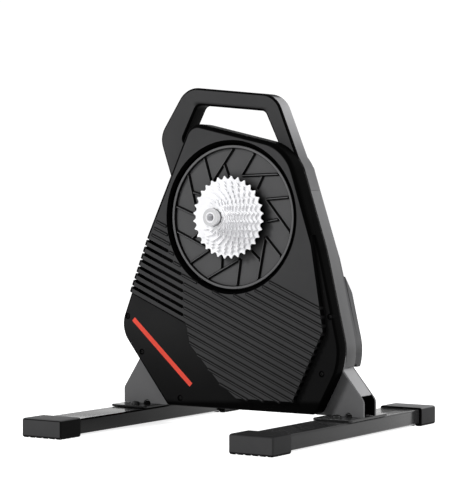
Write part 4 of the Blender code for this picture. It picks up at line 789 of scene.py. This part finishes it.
def rod(x, z, radius, front, rear, steps=32):
    return tool(Circle(x, z, radius, steps), front, rear)


def depths(name):
    """The foremost and the rearmost Y of a solid."""
    low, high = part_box(name)
    return low[1], high[1]


def upright(mesh):
    """Turns a piece that is made along Y so that its front faces up."""
    mesh.transform(Matrix.Rotation(math.radians(-90), 4, "X"))
    return mesh


def sideways(mesh):
    """Turns a piece that is made along Y so that it lies along X."""
    mesh.transform(Matrix.Rotation(math.radians(90), 4, "Z"))
    return mesh


# Floor bars, caps and feet

def rectangle(left, right, low, high, radius):
    return Loop([(left, low, radius), (left, high, radius), (right, high, radius), (right, low, radius)])


def make_floor_bar(side, word):
    name = "floor_bar_" + word
    centre = side * BAR_X
    outer = rectangle(centre - BAR_HALF, centre + BAR_HALF, BAR_LOW, BAR_TOP, 0.003)
    bar = slab(name, outer, [Loop(inset(outer.corners, BAR_WALL))], eased(*depths(name), 0.0004, 0.0004, 2))
    holes = [upright(rod(centre, y, BOLT_HOLE, -0.0300, -0.0200)) for y, _ in FOOT_BOLTS]
    add(name + "_tube", carved(bar, joined("holes", holes)), "gloss", node=name)
    for y, end in FOOT_BOLTS:
        nut = slab("nut", Circle(centre, y, 0.0075, 6), [Circle(centre, y, BOLT_HOLE, 32)],
                   eased(-0.0258, -0.0196, 0.0, 0.0006, 2))
        add("weld_nut_%s_%s" % (end, word), upright(nut), "bolt")


def make_end_cap(side, word, end):
    name = "end_cap_%s_%s" % ("front" if end < 0 else "rear", word)
    low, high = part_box(name)
    centre = side * BAR_X
    rounds = (0.0032, 0.0008) if end < 0 else (0.0008, 0.0032)
    body = slab(name, rectangle(low[0], high[0], low[2], high[2], 0.0042), [],
                eased(low[1], high[1], *rounds, 5))
    reach = BAR_HALF + GAP
    socket = tool(rectangle(centre - reach, centre + reach, BAR_LOW - GAP, BAR_TOP + GAP, 0.003),
                  *sorted((end * 0.2588, end * 0.2000)))
    along = [rod(centre + k * 0.013, GROOVE_Z, GROOVE_RADIUS, low[1] - 0.005, high[1] + 0.005, 24)
             for k in range(-2, 3)]
    across = [sideways(rod(low[1] + 0.0075 + 0.012 * k, GROOVE_Z, GROOVE_RADIUS, -centre - 0.045,
                           -centre + 0.045, 24)) for k in range(4)]
    add(name + "_moulding", carved(body, socket, joined("along", along), joined("across", across)),
        "rubber", node=name)


def make_foot_plate(side, word):
    name = "foot_plate_" + word
    low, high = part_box(name)
    holes = [Circle(side * BAR_X, y, BOLT_HOLE, 32) for y, _ in FOOT_BOLTS]
    mesh = slab(name, rectangle(low[0], high[0], low[1], high[1], 0.006), holes,
                eased(-high[2], -low[2], 0.0007, 0.0007, 3))
    add(name + "_steel", upright(mesh), "gloss", node=name)


def make_foot_bolt(side, word, y, end):
    name = "foot_bolt_%s_%s" % (end, word)
    low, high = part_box(name)
    place = Vector((side * BAR_X, 0, y))
    seat, top = 0.0326, high[2]
    edge = seat + 0.0012
    profile = [(0, -low[2]), (0.004, -low[2], 0.0004), (0.004, -seat), (0.0076, -seat), (0.0076, -edge)]
    for k in range(1, 7):
        turn = math.pi / 2 * k / 6
        profile.append((0.0026 + 0.0050 * math.cos(turn), -edge - (top - edge) * math.sin(turn)))
    recess = rod(place.x, y, 0.0028, -top - 0.002, -top + 0.0026, 6)
    mesh = carved(lathe(name, profile + [(0, -top)], place, 40), recess)
    add(name + "_button_head", upright(mesh), "bolt", node=name)
    washer = tube("washer", (0.0042, 0.0088), (-seat, -seat + 0.0003), place, 40, (0, 0.0003, 0, 0))
    add("washer_%s_%s" % (end, word), upright(washer), "bolt")


# Legs, rails and handle

def side_run(side, low, high, depth):
    """The points of one side of the body between two heights, from low to high."""
    points = Loop(BODY).at(depth)
    run = []
    for index, here in enumerate(points):
        before = points[index - 1]
        if here.x * side < 0 or before.x * side < 0:
            continue
        for height in (low, high):
            if (before.y - height) * (here.y - height) < 0:
                run.append(before.lerp(here, (height - before.y) / (here.y - before.y)))
        if low + 0.0005 < here.y < high - 0.0005:
            run.append(here)
    return sorted(run, key=lambda point: point.y)


def make_side_rail(side, word):
    name = "side_rail_" + word
    low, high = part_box(name)
    outer, inner = [side_run(side, low[2], high[2] + GAP, depth) for depth in (0.0, STRIP_WALL)]
    mesh = slab(name, Loop(outer + inner[::-1]), [], eased(low[1], high[1], 0.0005, 0.0, 2))
    add(name + "_strip", mesh, "strip", node=name)


def leg_edge(side, height):
    """Where a leg's slanting edge lies, on a line from the foot's fold to the body's side."""
    join = 0.104 if side > 0 else 0.118
    top = side_run(side, join, join + 0.004, 0.0)[0].x
    share = (height - LEG_FOLD) / (join - LEG_FOLD)
    return side * LEG_REACH + (top - side * LEG_REACH) * share


def make_leg_web(side, word):
    name = "leg_web_" + word
    foot, head = [Vector((leg_edge(side, height), height)) for height in (0.066, 0.126)]
    into = (head - foot).orthogonal().normalized() * side * STRIP_WALL
    corners = [(*point, 0.0007) for point in (foot, head, head + into, foot + into)]
    add(name + "_strip", slab(name, Loop(corners), [], flat(*depths(name))), "web", node=name)


def make_handle():
    body = slab("handle", Loop(HANDLE), [Loop(HANDLE_LOOP)],
                eased(HANDLE_FRONT, BODY_REAR, 0.0042, 0.0042, 6, upper=(0.430, 0.450)))
    seat = tool(Loop(inset(BODY, -GAP)), 0.009, PLATE_REAR + GAP)
    pocket = tool(Loop(HANDLE_POCKET), PLATE_REAR + GAP + 0.004, BODY_REAR + 0.004)
    holes = joined("holes", [rod(x, z, BOLT_HOLE, HANDLE_FRONT, 0.026) for x, z in HANDLE_BOLTS])
    add("carry_handle", carved(body, seat, pocket, holes), "handle", node="handle")


# Drive cover

def rib_height(index, x):
    return RIB_TOP - index * RIB_STEP + RIB_SLOPE * x


def bar_on_rib(index, left, right, width, end_round, start_round=0.0):
    """The outline of a bar along one rib line."""
    start, end = [Vector((x, rib_height(index, x))) for x in (left, right)]
    return straight_bar(start, end, width / 2, start_round, end_round)


def slot_end(index):
    """Where a slot stops, clear of the opening."""
    x = -0.0890
    while math.hypot(x - AXLE.x, rib_height(index, x) - AXLE.z) < SLOT_CLEAR:
        x -= 0.0007
    return x


def step_tool(wall, rounding):
    """What lies before the lower ledge, outside the raised middle."""
    stations = [(COVER_FACE - 0.004, -rounding)]
    if rounding:
        for k in range(5):
            turn = math.pi / 2 * k / 4
            stations.append((COVER_FACE + rounding * (1 - math.cos(turn)), rounding * (math.sin(turn) - 1)))
    stations.append((LEDGE + (wall or 0.0078), 0.0))
    around_all = Loop([(-0.5, -0.5), (0.5, -0.5), (0.5, 1.0), (-0.5, 1.0)])
    return slab("step", around_all, [Loop(inset(RAISED, wall))], stations)


def make_drive_cover():
    shell = slab("drive_cover", Loop(BODY), [], eased(COVER_FACE, COVER_REAR, 0.008, 0.0, 8))
    form = slab("form", Loop(inset(BODY, -GAP)), [], eased(LEDGE, COVER_REAR + 0.002, 0.005, 0.0, 6))
    room = slab("room", Loop(inset(BODY, COVER_WALL)), [],
                eased(COVER_FACE + COVER_WALL, COVER_REAR + 0.004, 0.0052, 0.0, 4))
    shell = carved(shell, carved(step_tool(0.0, 0.0012), form), carved(room, step_tool(COVER_WALL, 0.0)))

    lip = tube("lip", (OPENING - COVER_WALL, OPENING + 0.0032), (COVER_FACE + GAP, COVER_FACE + 0.0096),
               AXLE, 128, (0, 0, 0.0006, 0))
    bosses = [rod(x, z, 0.0055, LEDGE + 0.0014, COVER_REAR - GAP) for x, z in COVER_SCREWS]
    shell = carved(shell, joined("lip", [lip] + bosses), operation="UNION")

    opening = lathe("opening", [(0, COVER_REAR + 0.001), (OPENING, COVER_REAR + 0.001),
                                (OPENING, COVER_FACE + 0.0044, 0.0016), (OPENING + 0.0048, COVER_FACE - 0.0004),
                                (OPENING + 0.0048, COVER_FACE - 0.004), (0, COVER_FACE - 0.004)], AXLE, 128)
    wells = [lathe("well", [(0, COVER_REAR + 0.004), (0.0023, COVER_REAR + 0.004), (0.0023, LEDGE + 0.003),
                            (0.0040, LEDGE + 0.003), (0.0040, LEDGE + 0.0006), (0.0046, LEDGE),
                            (0.0046, LEDGE - 0.004), (0, LEDGE - 0.004)], Vector((x, 0, z)), 32)
             for x, z in COVER_SCREWS]
    widening = [(COVER_FACE - 0.003, -0.0006), (COVER_FACE, -0.0006), (COVER_FACE + 0.0008, 0.0),
                (COVER_FACE + 0.0125, 0.0)]
    slots = [slab("slot", bar_on_rib(k, -0.26, slot_end(k), 0.0044, 0.0020), [], widening) for k in SLOTTED]
    mesh = carved(shell, joined("openings", [opening] + wells), joined("slots", slots))
    add("moulded_drive_cover", mesh, "cover", node="drive_cover")


def inside(points, x, z):
    """Whether a place lies inside a closed line."""
    odd = False
    for index, here in enumerate(points):
        before = points[index - 1]
        if (here.y > z) != (before.y > z):
            if x < before.x + (z - before.y) * (here.x - before.x) / (here.y - before.y):
                odd = not odd
    return odd


def rib_runs(index, reach, edge):
    """The stretches of one rib line that the raised middle carries, clear of the opening and slots."""
    runs = []
    start = None
    step = 0.0005
    first = slot_end(index) + 0.001 if index in SLOTTED else -0.235
    for k in range(int(0.47 / step)):
        x = first + k * step
        z = rib_height(index, x)
        clear = math.hypot(x - AXLE.x, z - AXLE.z) > OPENING + 0.0050
        held = clear and inside(reach, x, z) and inside(edge, x, z)
        if held and start is None:
            start = x
        elif not held and start is not None:
            runs.append((start, x))
            start = None
    return [(left, right) for left, right in runs if right - left > 0.004]


def make_cover_ribs():
    reach = Loop(RAISED).at(-0.0006)
    edge = Loop(BODY).at(0.0082)
    front, shoulder = COVER_FACE - 0.0013, COVER_FACE - 0.0002
    stations = [(y, distance + RIB_FOOT) for y, distance, _ in eased(front, shoulder, 0.0005, 0.0, 3)]
    stations += [(shoulder, 0.0), (LEDGE + 0.001, 0.0)]
    bars = []
    for index in range(RIB_COUNT):
        for left, right in rib_runs(index, reach, edge):
            outline = bar_on_rib(index, left, right, 0.0026 + 2 * RIB_FOOT, 0.0020, 0.0020)
            bars.append(slab("rib", outline, [], stations))
    add("cover_ribs", joined("cover_ribs", bars), "ribs")


def make_cover_screws():
    for number, (x, z) in enumerate(COVER_SCREWS):
        name = "cover_screw_%d" % (number + 1)
        front, rear = depths(name)
        seat = LEDGE + 0.0027
        profile = [(0, rear), (0.0020, rear, 0.0003), (0.0020, seat), (0.0034, seat),
                   (0.0034, front + 0.0012, 0.0008), (0.0022, front, 0.0008), (0, front)]
        recess = rod(x, z, 0.0015, front - 0.001, front + 0.0015, 6)
        mesh = carved(lathe(name, profile, Vector((x, 0, z)), 32), recess)
        add(name + "_hex_head", mesh, "screw", node=name)


def make_red_stripe():
    """A plain painted bar on the ledge at the lower left."""
    outline = straight_bar(Vector((-0.1960, 0.1755)), Vector((-0.0800, 0.0702)), 0.0040, 0.0008, 0.0008)
    add("red_stripe", slab("stripe", outline, [], flat(LEDGE - 0.00012, LEDGE + 0.0004)), "stripe")


# Axle, belt wheel and sprockets

def make_axle_group():
    add("axle_tube", tube("axle", (AXLE_BORE, 0.0085), depths("axle"), AXLE, rounds=(0.0004, 0.0006, 0, 0)),
        "end_cap", node="axle")
    for name, finish, rim in (("drive_end_cap", "end_cap", 0.0142), ("rear_end_cap", "aluminium", 0.0125)):
        front, back = depths(name)[::1 if name == "drive_end_cap" else -1]
        into = 1 if back > front else -1
        profile = [(AXLE_BORE, back), (AXLE_BORE, front + into * 0.0010, 0.0002), (0.0068, front, 0.0002),
                   (0.0081, front, 0.0003), (0.0085, front + into * 0.0006),
                   (rim, front + into * 0.0006, 0.0008), (rim, front + into * 0.0060, 0.0004),
                   (0.0120, front + into * 0.0066, 0.0003), (0.0120, front + into * 0.0078, 0.0003),
                   (0.0125, front + into * 0.0084, 0.0004), (0.0125, back)]
        add(name + "_turned", lathe(name, profile, AXLE), finish, node=name)


def make_belt_wheel():
    rim, front, back = 0.1172, -0.0143, -0.0058
    profile = [(rim, front, 0.0014), (RIM_INNER, front, 0.0012), (RIM_INNER, DISC_FACE, 0.0005),
               (0.0300, DISC_FACE), (0.0296, DISC_FACE - 0.0006, 0.0002), (0.0262, DISC_FACE - 0.0006, 0.0002),
               (0.0258, DISC_FACE), (0.0150, DISC_FACE, 0.0003), (0.0150, 0.0118, 0.0003),
               (0.0260, 0.0118, 0.0008), (0.0260, back, 0.0010), (0.1090, back, 0.0008),
               (0.1090, 0.0095, 0.0004), (0.1120, 0.0095, 0.0004), (0.1120, back, 0.0004), (rim, back, 0.0006)]
    add("wheel_disc", lathe("wheel", profile, AXLE, 160), "disc", "belt_wheel", "belt_wheel")
    sloping = [(DISC_FACE - 0.0048, 0.0022), (DISC_FACE - 0.0046, 0.0019), (DISC_FACE - 0.0002, 0.0),
               (DISC_FACE + 0.001, 0.0)]
    ribs = []
    for sector in range(7):
        turn = math.tau * sector / 7
        for outer, outer_angle, inner, inner_angle in TURBINE_RIBS:
            start = Vector(about_axle(outer, turn + math.radians(outer_angle)))
            end = Vector(about_axle(inner, turn + math.radians(inner_angle)))
            ribs.append(slab("rib", straight_bar(start, end, 0.0028, 0.0003, 0.0003), [], sloping))
    add("turbine_ribs", joined("turbine_ribs", ribs), "turbine", "belt_wheel")


def sprocket_windows(root):
    """Openings between the six arms of a large sprocket."""
    outer, inner = root - 0.0085, 0.0225
    half = math.pi / 6 * 0.66
    windows = []
    for arm in range(6):
        middle = math.tau * (arm + 0.5) / 6
        spots = [(outer, half * k / 4, 0.002 if abs(k) == 4 else 0) for k in range(-4, 5)]
        spots += [(inner, half * 0.62, 0.0015), (inner, -half * 0.62, 0.0015)]
        windows.append(Loop([(*about_axle(radius, middle + angle), rounding)
                             for radius, angle, rounding in spots]))
    return windows


def make_sprockets():
    order = 0
    for name, group in SPROCKETS.items():
        front = FIRST_SPROCKET + order * SPROCKET_STEP - SPROCKET_HALF
        parts = []
        for teeth in group:
            middle = FIRST_SPROCKET + order * SPROCKET_STEP
            line = Teeth(teeth)
            holes = [Circle(AXLE.x, AXLE.z, 0.0171, 72)]
            if teeth >= 20:
                holes += sprocket_windows(line.root())
            parts.append(slab(name, line, holes, eased(middle - SPROCKET_HALF, middle + SPROCKET_HALF,
                                                       0.0004, 0.0004, 2)))
            order += 1
            if order < 11:
                back = middle + (0.0025 if teeth == group[-1] else 0.0030)
                reach = max(0.0195, line.root() + 0.0006)
                parts.append(tube("spacer", (0.0174, reach), (middle + 0.0004, back), AXLE, 72,
                                  (0, 0, 0.0002, 0)))
        if len(group) > 1:
            profile = [(0, front - 0.0007), (0.0016, front - 0.0007, 0.0006), (0.0022, front + 0.0002),
                       (0, front + 0.0002)]
            for arm in range(6):
                x, z = about_axle(0.0285, math.tau * arm / 6)
                parts.append(lathe("rivet", profile, Vector((x, 0, z)), 20))
        add(name + "_cut", joined(name, parts), "silver", "cassette", name)


def make_lockring():
    front, rear = depths("lockring")
    ring = tube("lockring", (0.0140, 0.0190), (front, rear), AXLE, rounds=(0.0003, 0.0007, 0, 0))
    notches = [rod(*about_axle(0.0146, math.tau * k / 12), 0.0011, front - 0.001, rear + 0.001, 20)
               for k in range(12)]
    add("lockring_splined", carved(ring, joined("notches", notches)), "silver", "cassette",
        "lockring")


def make_freehub():
    front, rear = depths("freehub")
    flange_end = -0.0243
    profile = [(0.0130, rear, 0.0003), (0.0208, rear, 0.0006), (0.0208, flange_end, 0.0005),
               (0.0160, flange_end), (0.0160, front, 0.0005), (0.0130, front, 0.0003)]
    splines = []
    for k in range(9):
        rib = block("spline", (0.0155, flange_end - 0.0390, -0.0022), (0.0167, flange_end, 0.0022), 0.0003)
        rib.transform(Matrix.Translation(AXLE) @ Matrix.Rotation(math.tau * k / 9, 4, "Y"))
        splines.append(rib)
    add("freehub_splined", joined("freehub", [lathe("freehub", profile, AXLE)] + splines), "aluminium",
        "cassette", "freehub")


def make_bearing(name, centre, body, inner, outer):
    """A bearing as two races with a shield between them."""
    front, rear = depths(name)
    wall = (outer - inner) * 0.24
    races = [tube("race", (near, near + wall), (front, rear), centre, 72, (0.0003,) * 4)
             for near in (inner, outer - wall)]
    add(name + "_races", joined(name, races), "steel", body, name)
    shield = tube("shield", (inner + wall, outer - wall), (front + 0.0006, rear - 0.0006), centre, 72)
    add(name + "_shield", shield, "belt", body)


# Flywheel, brake and rear cover

def make_flywheel():
    front, rear = depths("flywheel")
    profile = [(0.0078, front, 0.0004), (0.0180, front, 0.0006), (0.0190, front + 0.0008, 0.0004),
               (0.0560, front + 0.0008, 0.0004), (0.0570, front, 0.0006), (0.0880, front, 0.0014),
               (0.0880, rear, 0.0014), (0.0620, rear, 0.0010), (0.0620, front + 0.006, 0.0020),
               (0.0180, front + 0.006, 0.0020), (0.0180, front + 0.010, 0.0006),
               (0.0078, front + 0.010, 0.0004)]
    add("flywheel_turned", lathe("flywheel", profile, FLYWHEEL, 160), "iron", "flywheel",
        "flywheel")
    front, rear = depths("small_pulley")
    profile = [(0.0078, front), (0.0182, front, 0.0004), (0.0182, front + 0.001, 0.0003)]
    for k in range(5):
        y = front + 0.0020 + k * 0.0024
        profile += [(0.0160, y - 0.0006), (0.0152, y + 0.0006)]
    profile += [(0.0160, rear - 0.001), (0.0182, rear - 0.001, 0.0003), (0.0182, rear, 0.0004), (0.0078, rear)]
    add("small_pulley_grooved", lathe("pulley", profile, FLYWHEEL, 72), "aluminium",
        "flywheel", "small_pulley")
    front, rear = depths("idler_wheel")
    profile = [(0.0052, front, 0.0004), (0.0105, front, 0.0003), (0.0110, front + 0.0007),
               (0.0150, front + 0.0007, 0.0008), (0.0150, rear, 0.0008), (0.0052, rear, 0.0004)]
    add("idler_wheel_turned", lathe("idler", profile, IDLER, 72), "aluminium", "idler",
        "idler_wheel")


def rear_form(name, wall, rounding):
    """The body's line above the legs, less a wall, as a slab with its rear edge rounded. Its shallow
    upper part stands back from the line."""
    bottom = 0.108
    points = [point for point in Loop(BODY).at(0) if point.y > bottom + 0.0005]
    left, right = [side_run(side, bottom, 0.2, 0.0)[0] for side in (-1, 1)]
    line = Loop([left] + points + [right])
    front = BODY_REAR + GAP - (0.004 if wall else 0.0)
    stations = [(y, REAR_SETBACK, REAR_FADE) for y in (front, REAR_FLAT + 0.0004)]
    stations += eased(REAR_FLAT + 0.0008, REAR_DEEP - wall, 0.0, rounding, 6)
    return slab(name, Loop(inset(line.corners, wall)) if wall else line, [], stations)


def rear_step(wall):
    """What lies behind the flat upper part and the slope that leads to the deep part."""
    flat_y = REAR_FLAT - wall
    top = 0.253 - wall
    fall = 0.035 / 0.017
    line = Loop([(flat_y, 0.7), (flat_y, top, 0.004), (0.080, top - (0.080 - flat_y) * fall), (0.080, 0.7)])
    return sideways(tool(line, -0.4, 0.4))


def make_rear_cover():
    wall = 0.0026
    deep = carved(rear_form("rear_cover", 0.0, 0.0055), rear_step(0.0))
    room = carved(rear_form("room", wall, 0.0029), rear_step(wall))
    slots = [block("slot", (min(0, reach), 0.040, 0.100), (max(0, reach), 0.0553, 0.108 + rise), 0.0)
             for reach, rise in ((-LEG_REACH, 0.0195), (LEG_REACH, 0.0045))]
    openings = [rod(AXLE.x, AXLE.z, 0.0137, 0.040, 0.080, 72), rod(INLET_X, INLET_Z, 0.0061, 0.060, 0.080, 40)]
    add("moulded_rear_cover", carved(deep, room, joined("openings", slots + openings)), "rear_cover",
        node="rear_cover")
    heads = [tube("head", (0, 0.0034), (y - 0.0013, y + 0.0017), Vector((x, 0, z)), 32, (0, 0, 0.0010, 0))
             for x, z, y in REAR_SCREWS]
    add("rear_cover_screws", joined("heads", heads), "bolt")


def make_rear_ribs():
    """Raised bars along the rear cover's deep part."""
    bars = []
    for number in range(6):
        z = 0.202 - number * 0.0135
        bars.append(slab("bar", rectangle(-0.150, 0.108, z - 0.0024, z + 0.0024, 0.0023), [],
                         eased(0.0712, 0.0733, 0.0, 0.0009, 3)))
    add("rear_cover_ribs", joined("bars", bars), "rear_cover")


def make_inlet():
    front, rear = depths("power_inlet")
    centre = Vector((INLET_X, 0, INLET_Z))
    profile = [(0, front), (0.0058, front), (0.0058, 0.0723), (0.0085, 0.0723, 0.0003), (0.0085, rear, 0.0006),
               (0.0036, rear, 0.0004), (0.0033, rear - 0.001), (0.0033, 0.0635), (0, 0.0635)]
    add("power_inlet_moulding", lathe("inlet", profile, centre, 48), "inlet",
        node="power_inlet")
    pin = tube("pin", (0, 0.0010), (0.0630, 0.0715), centre, 24, (0, 0, 0.0005, 0))
    add("power_inlet_pin", pin, "steel")


def make_coils():
    """Copper windings round the brake core's poles."""
    middle = sum(depths("brake_core")) / 2
    hub = Matrix.Translation((FLYWHEEL.x, middle, FLYWHEEL.z))
    for pole in range(8):
        coil = block("coil", (0.0333, -0.0092, -0.0092), (0.0530, 0.0092, 0.0092), 0.0022)
        coil.transform(hub @ Matrix.Rotation(math.tau * pole / 8, 4, "Y"))
        add("coil_%d" % (pole + 1), coil, "copper")


def make_board_parts():
    """Chips, capacitors and a connector on the circuit board."""
    face = depths("circuit_board")[1]
    for number, (x, z, radius, tall) in enumerate(CAPACITORS):
        profile = [(0, face), (radius, face, 0.0003), (radius, face + 0.001), (radius - 0.0003, face + 0.0014),
                   (radius, face + 0.0018), (radius, face + tall, 0.0005), (0, face + tall)]
        mesh = lathe("capacitor", profile, Vector((x, 0, z)), 32)
        add("capacitor_%d" % (number + 1), mesh, "aluminium")
    for number, (x, z, wide, tall, deep) in enumerate(CHIPS):
        chip = block("chip", (x - wide / 2, face, z - tall / 2), (x + wide / 2, face + deep, z + tall / 2),
                     0.0003)
        add("chip_%d" % (number + 1), chip, "inlet")


for node_name, item in NODES.items():
    keys = [key for key in NODE_FINISHES if node_name.startswith(key)]
    paint(item, NODE_FINISHES[max(keys, key=len)])

for side, word in SIDES:
    make_floor_bar(side, word)
    make_foot_plate(side, word)
    make_side_rail(side, word)
    make_leg_web(side, word)
    for end in (-1, 1):
        make_end_cap(side, word, end)
    for y, end_word in FOOT_BOLTS:
        make_foot_bolt(side, word, y, end_word)
make_handle()
make_drive_cover()
make_cover_ribs()
make_cover_screws()
make_red_stripe()
make_axle_group()
make_belt_wheel()
make_sprockets()
make_lockring()
make_freehub()
for bearing in ("hub_bearing_front", "hub_bearing_rear"):
    make_bearing(bearing, AXLE, "belt_wheel", 0.0088, 0.0147)
for bearing in ("shaft_bearing_front", "shaft_bearing_rear"):
    make_bearing(bearing, FLYWHEEL, "frame", 0.0078, 0.0160)
make_flywheel()
make_rear_cover()
make_rear_ribs()
make_inlet()
make_coils()
make_board_parts()


# Stage, light and camera

def seen_directly(tree, plain, direct, output):
    """Sends one shader to rays from the camera, off gloss or through glass, and another to the rest."""
    rays = tree.nodes.new("ShaderNodeLightPath")
    shares = [Wire(tree, rays.outputs["Is %s Ray" % kind]) for kind in ("Camera", "Glossy", "Transmission")]
    blend = tree.nodes.new("ShaderNodeMixShader")
    tree.links.new(shares[0].most(shares[1]).most(shares[2]).socket, blend.inputs[0])
    tree.links.new(plain.outputs[0], blend.inputs[1])
    tree.links.new(direct.outputs[0], blend.inputs[2])
    tree.links.new(blend.outputs[0], tree.nodes[output].inputs["Surface"])


def make_floor():
    shape = bmesh.new()
    just_under = Matrix.Translation((0, 0, -0.0001))
    bmesh.ops.create_grid(shape, x_segments=8, y_segments=8, size=40, matrix=just_under)
    mesh = bpy.data.meshes.new("pale_floor")
    shape.to_mesh(mesh)
    shape.free()
    floor = bpy.data.objects.new("pale_floor", mesh)
    bpy.context.scene.collection.objects.link(floor)
    finish = Finish("pale_floor", (0.93, 0.93, 0.93), 0.85, specular=0.0)
    tree = finish.tree
    glow = tree.nodes.new("ShaderNodeEmission")
    glow.inputs["Strength"].default_value = 0.80
    added = tree.nodes.new("ShaderNodeAddShader")
    tree.links.new(finish.shader.outputs[0], added.inputs[0])
    tree.links.new(glow.outputs[0], added.inputs[1])
    seen_directly(tree, finish.shader, added, "Material Output")
    mesh.materials.append(finish.material)


def make_world():
    world = bpy.data.worlds.new("white_room")
    bpy.context.scene.world = world
    world.use_nodes = True
    tree = world.node_tree
    plain, white = tree.nodes["Background"], tree.nodes.new("ShaderNodeBackground")
    for node, colour, strength in ((plain, (0.92, 0.92, 0.92, 1), 0.32), (white, (1, 1, 1, 1), 1.05)):
        node.inputs["Color"].default_value = colour
        node.inputs["Strength"].default_value = strength
    seen_directly(tree, plain, white, "World Output")


def make_lamp(name, place, size, power):
    data = bpy.data.lights.new(name, "AREA")
    data.shape = "DISK"
    data.size = size
    data.energy = power
    lamp = bpy.data.objects.new(name, data)
    lamp.location = place
    lamp.rotation_euler = (Vector((0.0, 0.0, 0.25)) - Vector(place)).to_track_quat("-Z", "Y").to_euler()
    bpy.context.scene.collection.objects.link(lamp)


def make_camera():
    data = bpy.data.cameras.new("photo_camera")
    data.sensor_width = 36.0
    data.sensor_fit = "AUTO"
    data.lens = 139.29
    data.clip_start = 0.1
    data.clip_end = 100.0
    camera = bpy.data.objects.new("photo_camera", data)
    camera.location = (1.69137, -2.65165, 0.37009)
    camera.rotation_euler = (math.radians(90 - 1.394), 0.0, math.radians(32.724))
    bpy.context.scene.collection.objects.link(camera)
    bpy.context.scene.camera = camera


make_floor()
make_world()
make_lamp("key", (-1.3, -2.6, 1.9), 0.9, 62.0)
make_lamp("side", (3.0, 0.6, 1.6), 1.6, 66.0)
make_lamp("rear", (-2.2, 2.5, 2.2), 1.6, 25.0)
make_camera()
bpy.context.scene.view_settings.view_transform = "Standard"
